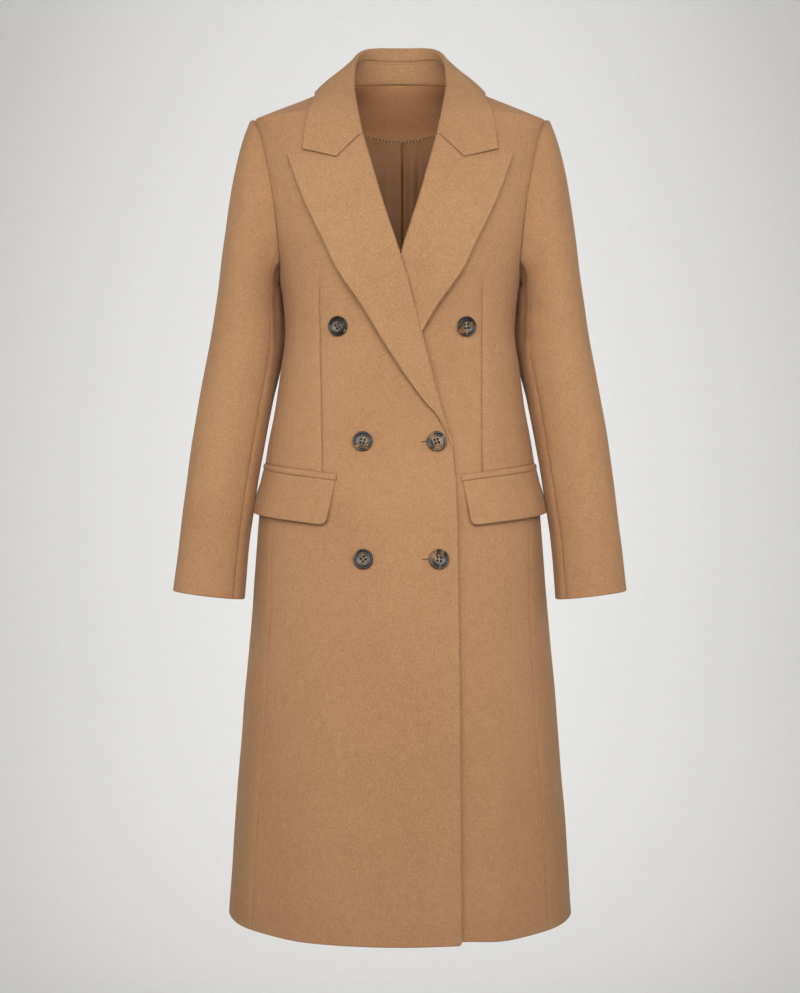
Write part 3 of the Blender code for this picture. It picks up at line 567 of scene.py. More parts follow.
def hem_lift(angle, height):
    """The hem rises a little over the side panels."""
    share = ease((LOW_SKIRT - height) / (LOW_SKIRT - HEM))
    return 7.0 * share * np.sin(np.radians(2 * np.clip(np.abs(angle), 35, 125) - 70)) ** 2


def turn_at(height, front):
    """The turn round the armhole at which its front or back half has this height."""
    turns = np.linspace(0, 180, 721) if front else np.linspace(360, 180, 721)
    heights = smooth(ARMHOLE, "height", turns, "turn")
    return np.interp(height, heights[::-1], turns[::-1])


def armhole_angle(turn):
    """The angle round the body of a point of the armhole."""
    turn = turn % 360
    return angle_from_y(smooth(ARMHOLE, "y", turn, "turn"), smooth(ARMHOLE, "height", turn, "turn"))


def with_end(table, **end):
    """A table with one more row at its end."""
    return {name: np.append(values, end[name]) for name, values in table.items()}


def seam_at(height, front):
    """The angle of a body panel's outer edge: the side seam, the armhole, then the shoulder."""
    table = {name: SIDE_SEAMS[name] for name in ("height", "front", "back")}
    corners = {"front": armhole_angle(SIDE_TURNS[0]), "back": armhole_angle(SIDE_TURNS[1])}
    table = with_end(table, height=UNDERARM, **corners)
    seam = smooth(table, "front" if front else "back", height)
    edge = armhole_angle(turn_at(height, front))
    return np.where(height >= SHOULDER_TIP, 90.0, np.where(height < UNDERARM, seam, edge))


# ---------------------------------------------------------------- making cloth


def quads(a, b, c, d):
    """Four-cornered faces, from the point numbers of their corners as four grids."""
    return np.stack([a, b, c, d], axis=-1).reshape(-1, 4)


def ring_quads(index):
    """The faces between neighbouring rings, whose point numbers go round on the last axis."""
    nxt = np.roll(index, -1, axis=-1)
    return quads(index[..., :-1, :], nxt[..., :-1, :], nxt[..., 1:, :], index[..., 1:, :])


def closed_mesh(name, points, faces, material):
    """A mesh object from points in mm and faces, turned so that its faces point outwards: the sum
    of the signed volumes under its faces is then above zero."""
    points = np.asarray(points) * MM
    a, b, c = (points[faces[:, k]] for k in range(3))
    volume = np.einsum("ij,ij->i", a, np.cross(b, c)).sum()
    if faces.shape[1] == 4:
        d = points[faces[:, 3]]
        volume += np.einsum("ij,ij->i", a, np.cross(c, d)).sum()
    if volume < 0:
        faces = faces[:, ::-1]
    mesh = bpy.data.meshes.new(name)
    mesh.from_pydata(points.tolist(), [], faces.tolist())
    mesh.materials.append(material)
    mesh.shade_smooth()
    piece = bpy.data.objects.new(name, mesh)
    bpy.context.scene.collection.objects.link(piece)
    return piece


def wall(name, shown, hidden, material):
    """A closed wall of cloth: the shown grid, the hidden grid, and a strip round their edges."""
    rows, cols = shown.shape[:2]
    near = np.arange(rows * cols).reshape(rows, cols)
    far = near + rows * cols
    faces = [
        quads(near[:-1, :-1], near[:-1, 1:], near[1:, 1:], near[1:, :-1]),
        quads(far[:-1, :-1], far[1:, :-1], far[1:, 1:], far[:-1, 1:]),
    ]
    loops = [(near[0], far[0]), (near[:, -1], far[:, -1])]
    loops += [(near[-1][::-1], far[-1][::-1]), (near[::-1, 0], far[::-1, 0])]
    for edge, beyond in loops:
        faces.append(quads(edge[:-1], beyond[:-1], beyond[1:], edge[1:]))
    points = np.concatenate([shown.reshape(-1, 3), hidden.reshape(-1, 3)])
    return closed_mesh(name, points, np.concatenate(faces), material)


def lengths(points, axis):
    """How far each point of a grid is from its first and from its last row or column, in mm."""
    step = np.linalg.norm(np.diff(points, axis=axis), axis=-1)
    reached = np.cumsum(step, axis=axis)
    start = np.zeros_like(np.take(reached, [0], axis=axis))
    reached = np.concatenate([start, reached], axis=axis)
    return reached, np.take(reached, [-1], axis=axis) - reached


def rolled(distance, radius):
    """How far a rounded edge has dropped: a quarter circle of this radius, level further in."""
    inside = np.clip(1 - distance / radius, 0, 1)
    return radius * (1 - np.sqrt(1 - 0.97 * inside**2))


def pressed(distance):
    """The faint ridge of a pressed-open seam allowance behind the cloth."""
    return 0.28 * (ease((distance - 2) / 3) - ease((distance - 11) / 4))


def cloth(
    name, surface, u, v, edges, out=0.0, thick=WOOL, way=1, material=None, lap=None, roll=SEAM_ROLL
):
    """A piece of cloth on a surface of two parameters. Its edges are named first, last, low and
    high, for its columns and rows. A seam rolls the shown face down. A turned edge rolls both faces,
    and has the cloth turned in behind it, which makes it thicker for the width of a hem or less. A
    lap is rows of points for both faces that run on below the low edge, behind its neighbour."""
    points = surface(u, v)
    first, last = lengths(points, 1)
    low, high = lengths(points, 0)
    away = {"first": first, "last": last, "low": low, "high": high}
    drop, lift, extra = 0.0, 0.0, 0.0
    for edge, kind in edges.items():
        if isinstance(kind, str):
            drop = np.maximum(drop, SEAM_DEPTH * rolled(away[edge], roll))
            out = out + pressed(away[edge])
        else:
            depth = TURNED * ease((kind - away[edge]) / 3)
            extra = np.maximum(extra, depth)
            rounded = rolled(away[edge], 0.48 * (thick + TURNED))
            drop, lift = np.maximum(drop, rounded), np.maximum(lift, rounded)
    shown = moved_out(surface, u, v, way * (out - drop))
    hidden = moved_out(surface, u, v, way * (out - thick - extra + lift))
    if lap is not None:
        shown, hidden = np.concatenate([lap[0], shown]), np.concatenate([lap[1], hidden])
    return wall(name, shown, hidden, material)


def between(lines, counts, metric):
    """Columns on every row, from the first line to the last: close together beside each line, where
    the cloth bends, and even between. The metric is in mm for a unit across."""
    parts = []
    for k, count in enumerate(counts):
        way = np.sign(lines[k + 1] - lines[k])[:, None]
        after = lines[k][:, None] + way * NEAR / metric[k][:, None]
        before = lines[k + 1][:, None] - way * NEAR[::-1] / metric[k + 1][:, None]
        t = np.linspace(0, 1, count + 2)[1:-1]
        middle = after[:, -1:] + (before[:, :1] - after[:, -1:]) * t
        part = np.concatenate([after, middle, before], axis=1)
        parts.append(part if k == len(counts) - 1 else part[:, :-1])
    return np.concatenate(parts, axis=1)


def body_metric(angle, height):
    """How many mm a degree is, along the form's surface."""
    return np.linalg.norm(body(angle + 0.5, height) - body(angle - 0.5, height), axis=-1)


def seam_width(height):
    """Over how much the panels' seams turn in: less round the armhole, least at the shoulder's tip."""
    round_armhole = FINE_ROLL * (1 - 0.9 * np.exp(-(((height - SHOULDER_TIP) / 9) ** 2)))
    return np.where(height > UNDERARM, round_armhole, SEAM_ROLL)


def body_relief(angle, height):
    """Creases and unevenness of the cloth on the body."""
    lifted = creases(BODY_CREASES, "angle", BODY_DEGREE, angle, height)
    return lifted + unevenness(body(angle, height))


# ---------------------------------------------------------------- the body's panels

HEM_ROWS = HEM + NEAR[:-1]
SKIRT_ROWS = np.concatenate([HEM_ROWS, run(HEM + NEAR[-1], -560, 7.5)[:-1]])
POCKET_ROWS = run(-512, -487, 0.8)[:-1]
WAIST_ROWS = np.concatenate([run(-560, -512, 5.0)[:-1], POCKET_ROWS, run(-487, -440, 5.0)[:-1]])
CHEST_ROWS = run(-440, UNDERARM, 6.0)
SHOULDER_ROWS = np.concatenate([run(UNDERARM, -64, 4.0)[1:-1], run(-64, SHOULDER_TIP, 2.0)[:-1]])
TO_SHOULDER = np.concatenate([SKIRT_ROWS, WAIST_ROWS, CHEST_ROWS, SHOULDER_ROWS])
FRONT_ROWS = np.concatenate([TO_SHOULDER, run(SHOULDER_TIP, -5.5, 1.6)])
SIDE_ROWS = np.concatenate([SKIRT_ROWS, WAIST_ROWS, CHEST_ROWS[:-2], UNDERARM - NEAR[::-1]])
BACK_ROWS = np.concatenate([TO_SHOULDER, run(SHOULDER_TIP, 0, 1.6)])


def front_bounds(height):
    """Angles of the front panel's outer edge and of its front edge, at each height."""
    outer = seam_at(height, True)
    inset = (ROLL + 1.2) * ease((height - BREAK) / 34) + 2.5 * ease((height + 75) / 20)
    inner = angle_at(smooth(FRONT_EDGE, "across", height) + inset, height)
    return outer - np.degrees(GAP / 2 / half_width(height)), inner


def dart_share(height, side):
    """Where the dart's line is between the panel's two edges. It keeps on past the dart's ends."""
    held = np.clip(height, DART["height"][0], DART["height"][-1])
    outer, inner = front_bounds(held)
    line = angle_at(smooth(DART, "right" if side == RIGHT else "left", held), held)
    return (line - outer) / (inner - outer)


def welt_seam(angle, height):
    """How deep the panels are drawn in along the upper edge of the pocket's welt."""
    share = (angle - FLAP["angle"][0]) / (FLAP["angle"][1] - FLAP["angle"][0])
    sewn_on = flap_top(share)[1] + GAP + WELT_HEIGHT + 0.9
    return 1.9 * np.exp(-(((height - sewn_on) / 0.9) ** 2)) * ((share > -0.02) & (share < 1.0))


def front_panel(side, material):
    """One front, from the side seam, armhole and shoulder seam to its front edge, roll line and
    neckline, with its dart and with a rounded corner at the hem."""
    outer, inner = front_bounds(FRONT_ROWS)
    dart = outer + (inner - outer) * dart_share(FRONT_ROWS, side)
    lines = [outer, dart, inner]
    angle = between(lines, [16, 26], [body_metric(line, FRONT_ROWS) for line in lines])
    height = FRONT_ROWS[:, None] + hem_lift(angle, FRONT_ROWS[:, None])
    across = body(side * angle, height)[..., 0]
    inward = tuck(across, height, side)
    height = height + 0.5 * inward * ease((LOW_SKIRT - height) / (LOW_SKIRT - HEM))
    metric = body_metric(inner, FRONT_ROWS)[:, None]
    from_edge = (angle - inner[:, None]) * metric
    height = height + rolled(from_edge, HEM_CORNER) * ease(1 - (FRONT_ROWS[:, None] - HEM) / 30)
    from_dart = (angle - dart[:, None]) * body_metric(dart, FRONT_ROWS)[:, None]
    sewn = ease((height - DART_ENDS[0]) / 4) * ease((DART_ENDS[1] - height) / 22)
    out = body_relief(side * angle, height) - inward
    out = out - sewn * (2.6 * np.exp(-((from_dart / 0.9) ** 2)) + 0.8 * np.exp(-((from_dart / 5) ** 2)))
    dimple = np.exp(-((from_dart / 9) ** 2) - ((height - DART_ENDS[1]) / 16) ** 2)
    out = out - 0.8 * dimple
    out = out - welt_seam(angle, height)
    if side == RIGHT:
        out = out + EDGE_LIFT * np.exp(-((from_edge / 14) ** 2)) * ease((-476 - height) / 70)
    edges = {"first": "seam", "last": FACING_WIDTH, "low": HEM_WIDTH}
    name = f"front_{WORD[side]}_cloth"
    roll = seam_width(height)
    return cloth(name, body, side * angle, height, edges, out, material=material, roll=roll)


def side_panel(side, material):
    """The panel under the arm, from the bottom of the armhole to the hem."""
    row = SIDE_ROWS
    front, back = seam_at(row, True), seam_at(row, False)
    metrics = [body_metric(front, row), body_metric(back, row)]
    half_gap = GAP / 2
    front, back = front + half_gap / metrics[0], back - half_gap / metrics[1]
    angle = between([front, back], [26], metrics)
    share = (angle - front[:, None]) / (back - front)[:, None]
    dip = (((row - HEM) / (UNDERARM - HEM)) ** 6)[:, None]
    turn = SIDE_TURNS[0] + (SIDE_TURNS[1] - SIDE_TURNS[0]) * share
    height = row[:, None] + (smooth(ARMHOLE, "height", turn, "turn") - UNDERARM - 2 * GAP) * dip
    corners = [armhole_angle(corner) for corner in SIDE_TURNS]
    bow = armhole_angle(turn) - corners[0] - (corners[1] - corners[0]) * share
    angle = angle + bow * dip
    height = height + hem_lift(angle, height)
    edges = {"first": "seam", "last": "seam", "low": HEM_WIDTH, "high": "seam"}
    name = f"side_{WORD[side]}_cloth"
    out = body_relief(side * angle, height) - welt_seam(angle, height)
    return cloth(name, body, side * angle, height, edges, out, material=material)


def back_panel(side, material):
    """Half the back, from the centre seam to the side seam, armhole and shoulder."""
    outer, inner = seam_at(BACK_ROWS, False), 180.0 + 0 * BACK_ROWS
    metrics = [body_metric(outer, BACK_ROWS), body_metric(inner, BACK_ROWS)]
    outer, inner = outer + GAP / 2 / metrics[0], inner - GAP / 2 / metrics[1]
    angle = between([outer, inner], [30], metrics)
    share = (angle - outer[:, None]) / (inner - outer)[:, None]
    height = BACK_ROWS[:, None] + hem_lift(angle, BACK_ROWS[:, None])
    to_neck = ease((height - SHOULDER_TIP) / -SHOULDER_TIP)
    height = height + BACK_NECK_RISE * share * (2 - share) * to_neck
    edges = {"first": "seam", "last": "seam", "low": HEM_WIDTH}
    name = f"back_{WORD[side]}_cloth"
    out = body_relief(side * angle, height)
    roll = seam_width(height)
    return cloth(name, body, side * angle, height, edges, out, material=material, roll=roll)


# ---------------------------------------------------------------- lapels and collar


def by_length(across, height, share):
    """Points at these shares of the length of a line through the given points."""
    step = np.hypot(np.diff(across), np.diff(height))
    reached = reached_by(step)
    table = {"length": reached / reached[-1], "across": across, "height": height}
    return smooth(table, "across", share, "length"), smooth(table, "height", share, "length")


def lapel_patch(share, along):
    """Across and height on the turned-back lapel: a Coons patch between the roll line, the outer
    edge, the break and the top edge, which has its corner at the notch."""
    keep = (FRONT_EDGE["height"] > BREAK) & (FRONT_EDGE["height"] <= GORGE_START[1])
    roll_height = np.concatenate([[BREAK], FRONT_EDGE["height"][keep]])
    roll_across = smooth(FRONT_EDGE, "across", roll_height) + ROLL * ease((roll_height - BREAK) / 30)
    roll = by_length(roll_across, roll_height, along)
    edge = by_length(LAPEL_EDGE["across"], LAPEL_EDGE["height"], along)
    corners = [roll_across[0], roll_height[0]], [LAPEL_EDGE["across"][0], LAPEL_EDGE["height"][0]]
    peak = LAPEL_EDGE["across"][-1], LAPEL_EDGE["height"][-1]
    top_points = (GORGE_START[0] + ROLL, GORGE_START[1]), NOTCH, peak
    found = []
    for k in (0, 1):
        top = np.interp(share, [0, NOTCH_SHARE, 1], [p[k] for p in top_points])
        bottom = corners[0][k] + (corners[1][k] - corners[0][k]) * share
        ruled = (1 - along) * bottom + along * top + (1 - share) * roll[k] + share * edge[k]
        corner = (1 - along) * ((1 - share) * corners[0][k] + share * corners[1][k])
        corner = corner + along * ((1 - share) * top_points[0][k] + share * top_points[2][k])
        found.append(ruled - corner)
    return found


def lapel(side):
    """The surface of one lapel, in hundredths: u from -100 to 0 is the return inside the front, 0
    to 100 the turn over the front's edge, and 100 to 200 the lapel that shows; v runs up the roll
    line. Its outer edge springs off the chest, most of all half way up."""

    def surface(u, v):
        u, v = np.broadcast_arrays(u / 100, v / 100)
        share = np.clip(u - 1, 0, 2)
        across, height = lapel_patch(share, v)
        roll = 1.0 + (ROLL - 1.0) * ease(v / 0.1)
        turn = np.pi * np.clip(u, 0, 1)
        across = across - roll * np.sin(turn) * (u < 1) - np.minimum(u, 0) * FACING_RETURN
        x = side * across
        spring = 0.3 + 2.3 * ease(v / 0.15) + 7.4 * np.sin(0.92 * np.pi * np.clip(v, 0, 1)) ** 1.2
        out = -WOOL / 2 - roll * np.cos(turn) + spring * share**2 - tuck(x, height, side)
        return on_body(angle_at(x, height), height, out)

    return surface


def lapel_piece(side, material):
    """One lapel. Its cloth thins towards the break, where the fold is too narrow for all of it."""
    notch = 100 + 100 * NOTCH_SHARE
    outer = 200 - NEAR[::-1] * 0.9
    across = [run(-100, 0, 25)[:-1], run(0, 100, 8)[:-1], run(100, notch, 3.2)[:-1]]
    across = np.concatenate(across + [run(notch, outer[0], 3.2)[:-1], outer])
    up = np.concatenate([NEAR[:-1] * 0.25, run(2.5, 97.5, 1.25), 100 - NEAR[:-1][::-1] * 0.25])
    u, v = np.meshgrid(across, up)
    v = v - 0.12 * (v / 100)
    surface = lapel(side)
    share = np.clip(u / 100 - 1, 0, 1)
    tip = rolled((1 - share) * 60, 2.5) * ease((v - 97) / 3) * 0.1
    v = v - tip
    out = unevenness(surface(u, v)) * 0.6 + 0.25
    grown = ease(v / 14)
    edges = {"last": LAPEL_TURN * grown, "high": LAPEL_TURN}
    name = f"lapel_{WORD[side]}_cloth"
    thick = LAPEL_THIN + LAPEL_MORE * grown
    return cloth(name, surface, u, v, edges, out, thick=thick, way=side, material=material)


def mirrored(table, odd):
    """A table of one half carried over to the other half of the collar."""
    flip = {name: values[:0:-1] * (-1 if name in odd else 1) for name, values in table.items()}
    return {name: np.concatenate([flip[name], table[name]]) for name in table}


def collar_guides(along):
    """The collar's neck seam, fold and outer edge at each place from -1 to 1, as three points."""
    start = on_body(angle_at(GORGE_START[0], GORGE_START[1]), GORGE_START[1], -WOOL / 2)
    fold = mirrored(with_end(COLLAR_FOLD, along=1, x=start[0], y=start[1], z=start[2]), ("along", "x"))
    fold = np.stack([smooth(fold, k, along, "along") for k in "xyz"], axis=-1)
    side = np.sign(along) + (along == 0)
    tip_angle = float(angle_at(COLLAR_TIP[0], COLLAR_TIP[1]))
    edge = mirrored(with_end(COLLAR_EDGE, along=1, angle=tip_angle, height=COLLAR_TIP[1]), ("along",))
    edge_angle, edge_height = (smooth(edge, k, along, "along") for k in ("angle", "height"))
    outer = on_body(side * edge_angle, edge_height, WOOL + 2.0)
    seam_end = float(angle_at(GORGE_START[0] + 12, GORGE_START[1]))
    seam = mirrored(with_end(NECK_SEAM, along=1, angle=seam_end, height=GORGE_START[1]), ("along",))
    seam_angle, seam_height = (smooth(seam, k, along, "along") for k in ("angle", "height"))
    neck = on_body(side * seam_angle, seam_height + 0.8, -(WOOL + 2.2))
    return neck, fold, outer


def collar_frame(along):
    """At each place: the guides, the way to the fold and the way out from the neck."""
    neck, fold, outer = collar_guides(along)
    e = 0.004
    tangent = unit(collar_guides(along + e)[1] - collar_guides(along - e)[1])
    rise = fold - (neck + outer) / 2
    rise = unit(rise - (rise * tangent).sum(-1, keepdims=True) * tangent)
    outward = np.cross(rise, tangent)
    return neck, fold, outer, rise, outward


def collar(u, v):
    """The collar's shown face, in hundredths: u is the place along it. v from -200 to -100 is the
    stand, -100 to 0 the inner part of the fall, 0 to 100 the half circle of the fold, and 100 to
    200 the fall outside. The fall's front end follows the gorge and then the notch."""
    u, v = np.broadcast_arrays(u / 100, v / 100)
    neck, fold, outer, rise, outward = collar_frame(u)
    centre = fold - ROLL * rise
    turn = (np.pi * np.clip(v, 0, 1))[..., None]
    turned = centre + ROLL * (np.sin(turn) * rise - np.cos(turn) * outward)
    inner_top = centre - ROLL * outward
    down = np.clip(-v, 0, None)[..., None]
    stand = (STAND_SHARE + STAND_GROWS * ease((np.abs(u) - 0.1) / 0.34))[..., None]
    below = (1 - stand) * np.minimum(down, 1) + stand * np.maximum(down - 1, 0)
    inner = inner_top + (neck - inner_top) * below
    w = np.clip(v - 1, 0, None)[..., None]
    outer_top = centre + ROLL * outward
    chord = outer - outer_top
    lift = unit(np.cross(chord, np.cross(outward, rise)))
    lift = lift * np.sign((lift * outward).sum(-1, keepdims=True))
    bulge = smooth(mirrored(COLLAR_BULGE, ("along",)), "out", u, "along")[..., None]
    fall = outer_top + chord * w + bulge * 4 * w * (1 - w) * lift
    fall = clear_of_body(np.abs(u), fall)
    laid = laid_end(u, w[..., 0], outer_top + chord * w, fall)
    fall = np.where(np.abs(u)[..., None] > LAID_FROM, laid, fall)
    return np.where(v[..., None] < 0, inner, np.where(v[..., None] <= 1, turned, fall))


def clear_of_body(along, points):
    """Keeps the front part of the fall in front of the body's cloth, with a rounded change."""
    x, y, z = np.moveaxis(points, -1, 0)
    width = half_width(z)
    share = np.clip(np.abs(x) / width, 0, 0.97)
    n = smooth(BODY, "squareness", z)
    face = smooth(BODY, "middle", z) - smooth(BODY, "front", z) * (1 - share**n) ** (1 / n)
    limit = face - COLLAR_CLEARANCE
    inside = (y - limit) / 2.0
    kept = limit + 2.0 * -np.log1p(np.exp(-np.clip(inside, -30, 30)))
    kept = np.where(inside > 30, limit, kept)
    near = ease((along - 0.6) / 0.1) * ease((0.97 - np.abs(x) / width) / 0.1)
    return np.stack([x, y + (np.minimum(kept, y) - y) * near, z], axis=-1)


def laid_end(u, w, flat, fall):
    """Lays the front of the fall on the lapel's level, with its end on the gorge and notch."""
    side = np.sign(u) + (u == 0)
    near = ease((np.abs(u) - LAID_FROM) / (1 - LAID_FROM))
    wanted, straight = end_line(w, COLLAR_END), end_line(w, COLLAR_END[::2])
    x = flat[..., 0] * side + near**2 * (wanted[0] - straight[0])
    z = flat[..., 2] + near**2 * (wanted[1] - straight[1])
    out = -WOOL / 2 + ROLL + 2.8 * w**2 + 0.3
    laid = on_body(angle_at(side * x, z), z, out)
    return fall + (laid - fall) * near[..., None]


def end_line(w, points):
    """A place on the line through the given places across and up, with w from 0 to 1."""
    shares = np.linspace(0, 1, len(points))
    return [np.interp(w, shares, [p[k] for p in points]) for k in (0, 1)]


def collar_pieces(material):
    """The fall, which turns over at the fold, and the stand that carries it."""
    end = NEAR[:-1] * 0.45
    along = np.concatenate([-100 + end, run(-97, 97, 1.6), 100 - end[::-1]])
    down = [-100 + NEAR[:-1] * 3, run(-78, 0, 11)[:-1], run(0, 100, 10)[:-1], run(100, 150, 4)[:-1]]
    u, v = np.meshgrid(along, np.concatenate(down + [run(150, 186, 4)[:-1], 200 - NEAR[::-1] * 1.35]))
    out = unevenness(collar(u, v)) * 0.4
    edges = {"first": EDGE_TURN, "last": EDGE_TURN, "low": "seam", "high": EDGE_TURN}
    fall = cloth("collar_fall_cloth", collar, u, v, edges, out, FALL_THICK, 1, material, roll=FINE_ROLL)
    along = run(-68, 68, 1.6)
    down = np.concatenate([-200 + NEAR[:-1] * 2.2, run(-182, -118, 5), -100.6 - NEAR[:-1][::-1] * 2.2])
    u, v = np.meshgrid(along, down)
    edges = {"low": "seam", "high": "seam"}
    stand = cloth("collar_stand_cloth", collar, u, v, edges, 0.0, WOOL, 1, material, roll=0.4)
    return fall, stand


# ---------------------------------------------------------------- inside the back


def inside_body(angle, height):
    """The form inside the wool. A piece on it is made with way -1, which moves it to the wearer."""
    return on_body(angle, height, -INSIDE)


def own_angle(angle):
    """The angle from the centre front on its own side, from 0 to 180."""
    own = np.abs((angle + 180) % 360 - 180)
    return np.where(own == 0, 180, own)


def neck_facing(material):
    """The curved facing inside the back neck."""
    along = np.concatenate([NEAR[:-1] * 0.017, run(0.14, 0.86, 0.06), 1 - NEAR[:-1][::-1] * 0.017])
    share, along = np.meshgrid(run(-1, 1, 0.018), along)
    angle = 180 - 78.75 * share
    low = smooth(FACING_EDGE, "height", own_angle(angle), "angle")
    high = smooth(NECK_SEAM, "height", own_angle(angle), "angle")
    height = low + (high - GAP - low) * along
    out = FACING_OUT + unevenness(body(angle, height)) * 0.5
    edges = {"low": FACING_TURN, "high": "seam"}
    return cloth(
        "neck_facing_cloth", inside_body, angle, height, edges, out, FACING_THICK, -1, material, roll=0.35
    )


def pleat(x):
    """The centre back pleat seen from inside: its lapped edge stands up and drops sharply into a
    narrow groove, which levels out on the other side."""
    rise = PLEAT_RISE * np.exp(-np.clip(-x, 0, None) / 16) * (x <= 0)
    edge = PLEAT_RISE * (1 - ease(x)) * (x > 0)
    groove = PLEAT_FALL * ease(x) * np.exp(-np.clip(x - 1.6, 0, None) / 0.8)
    return rise + edge - groove


def lining_out(x, drop):
    """How far the lining stands off the wool towards the wearer: it fills the step of the facing,
    hangs in soft folds, and is gathered a little where it is sewn on. The drop is from its top."""
    out = LINING_OUT + 7.5 * ease(drop / 60)
    share = drop / (-FACING_DEPTH - HEM)
    for centre, size, width, wider, drift in zip(*LINING_FOLDS.values()):
        wide = width * (1 + (wider - 1) * share)
        out = out + size * np.exp(-(((x - centre - drift * share) / wide) ** 2)) * ease((drop - 3) / 45)
    pucker = np.cos(2 * np.pi * x / GATHER_SPACING + 1.6 * np.sin(x / 7.0)) * (0.55 + 0.45 * np.sin(x / 3.1))
    length = 6.0 + 3.0 * np.sin(x / 5.3 + 1.0)
    out = out + GATHER_DEPTH * pucker * np.exp(-drop / length) * ease(drop / 1.0)
    out = out + pleat(x - 1.2 + 2.0 * share) * (0.12 + 0.88 * ease(drop / 50)) * (1 - 0.5 * share)
    return LINING_CLEAR + np.log1p(np.exp(np.clip(2 * (out - LINING_CLEAR), -30, 30))) / 2


def lining(material):
    """The back lining, below the facing down to just above the hem."""
    middle = run(-0.34, 0.34, 0.0031)
    share = np.concatenate([run(-1, -0.34, 0.022)[:-1], middle, run(0.34, 1, 0.022)[1:]])
    down = np.concatenate([NEAR[:-1] * 0.001, run(0.009, 0.07, 0.0035)[:-1], run(0.07, 1, 0.018)])
    share, down = np.meshgrid(share, down)
    angle = 180 - 58 * share
    top = smooth(FACING_EDGE, "height", own_angle(angle), "angle") - GAP
    height = top + (HEM + 35 - top) * down
    x = body(angle, height)[..., 0]
    out = lining_out(x, top - height)
    edges = {"low": "seam"}
    return cloth(
        "lining_back_cloth", inside_body, angle, height, edges, out, SATIN, -1, material, roll=0.5
    )


# ---------------------------------------------------------------- sleeves


def armhole(turn, out=0.0):
    """The seam round the armhole, by the turn from the shoulder tip to the front."""
    return on_body(armhole_angle(turn), smooth(ARMHOLE, "height", turn % 360, "turn"), out)


def sleeve_ring(turn, height):
    """The sleeve's own section below the cap. The turn starts at its outer side."""
    t = np.radians(turn)
    outer, inner = smooth(SLEEVE, "outer", height), smooth(SLEEVE, "inner", height)
    x = (outer + inner) / 2 + (outer - inner) / 2 * np.cos(t)
    inner_back = 2 * np.clip(-np.cos(t), 0, None) * np.clip(-np.sin(t), 0, None)
    x = x - smooth(SLEEVE, "press", height) * inner_back
    y = smooth(SLEEVE, "middle", height) - smooth(SLEEVE, "half_depth", height) * np.sin(t)
    drop = CUFF_SLANT * -np.cos(t) * ease((-300 - height) / 300)
    return np.stack([x, y, height - drop / 2], axis=-1)


def leaving(turn):
    """The way the left sleeve leaves the armhole: out and down, and to the front or back."""
    t = np.radians(turn)
    return unit(np.stack([0.8 - 0.15 * np.cos(t), -0.35 * np.sin(t), -0.55 - 0.2 * np.cos(t)], axis=-1))


def swing(turn, v):
    """How far the front seam, and less and less what is beside it, has turned in under the arm."""
    away = np.abs((turn - FRONT_SEAM + 180) % 360 - 180)
    swung = SWUNG_CAP * ease(v / 0.6) - SWUNG_BACK * ease((v - 1.1) / 0.9)
    return swung * np.clip(1 - away / SWING_REACH, 0, 1)


def sleeve(turn, v):
    """The left sleeve, in hundredths: v from 0 to 100 is the cap, from the armhole down to the
    underarm, and 100 to 200 the arm. The cap's lines are Bezier curves that leave the armhole
    along the body, and beside the shoulder's tip they are raised, steeply at the seam and less and
    less after it."""
    turn, v = np.broadcast_arrays(np.asarray(turn, float), v / 100)
    turn = turn + swing(turn, v)
    cap = np.clip(v, -0.2, 1)[..., None]
    first_way = leaving(turn)
    start = armhole(turn) + GAP * first_way
    end = sleeve_ring(turn, np.full_like(turn, CAP_BOTTOM))
    below = sleeve_ring(turn, np.full_like(turn, CAP_BOTTOM - 10))
    reach = np.linalg.norm(end - start, axis=-1, keepdims=True)
    first = start + first_way * reach * (0.3 - 0.085 * np.cos(np.radians(turn)))[..., None]
    last = end - unit(below - end) * reach * 0.41
    lines = (1 - cap) ** 3 * start + 3 * cap * (1 - cap) ** 2 * first
    lines = lines + 3 * cap**2 * (1 - cap) * last + cap**3 * end
    away = (turn[..., None] + 180) % 360 - 180
    raised = (1 - np.exp(-np.clip(cap, 0, 1) / HEAD_RISE)) * np.exp(-cap / HEAD_FADE) * (1 - cap)
    raised = SLEEVE_HEAD * raised * np.exp(-((away / HEAD_TURN) ** 2))
    lines = lines + raised * HEAD_WAY
    height = CAP_BOTTOM + (CUFF - CAP_BOTTOM) * np.clip(v - 1, 0, 1.02)
    return np.where(v[..., None] <= 1, lines, sleeve_ring(turn, height))


def on_sleeve(side):
    """The sleeve's surface on either side: the right one is the left one mirrored."""
    if side == LEFT:
        return sleeve
    return lambda turn, v: sleeve(turn, v) * np.array([-1.0, 1.0, 1.0])


def sleeve_lap(turn, out, mirror):
    """The seam allowance of the sleeve: from the armhole it drops past the edge of the body's cloth
    and runs on behind that. Two rows of points for each of its faces."""
    line = armhole(turn + 0.2) - armhole(turn - 0.2)
    seam, way = armhole(turn) + GAP * leaving(turn), leaving(turn)
    normal = unit(armhole(turn, 1.0) - armhole(turn))
    into = unit(np.cross(normal, line))
    into = -into * np.sign((into * way).sum(-1, keepdims=True))
    away = (turn + 180) % 360 - 180
    shorter = (1 - 0.7 * np.exp(-((away / 16) ** 2)))[:, None]
    rows = [(ALLOWANCE, WOOL + 0.7), (0.0, WOOL + 0.7), (ALLOWANCE, WOOL + 1.7), (-0.8, WOOL + 2.2)]
    rows = [seam + reach * shorter * into + (out[:, None] - drop) * normal for reach, drop in rows]
    return np.stack(rows[:2]) * mirror, np.stack(rows[2:]) * mirror


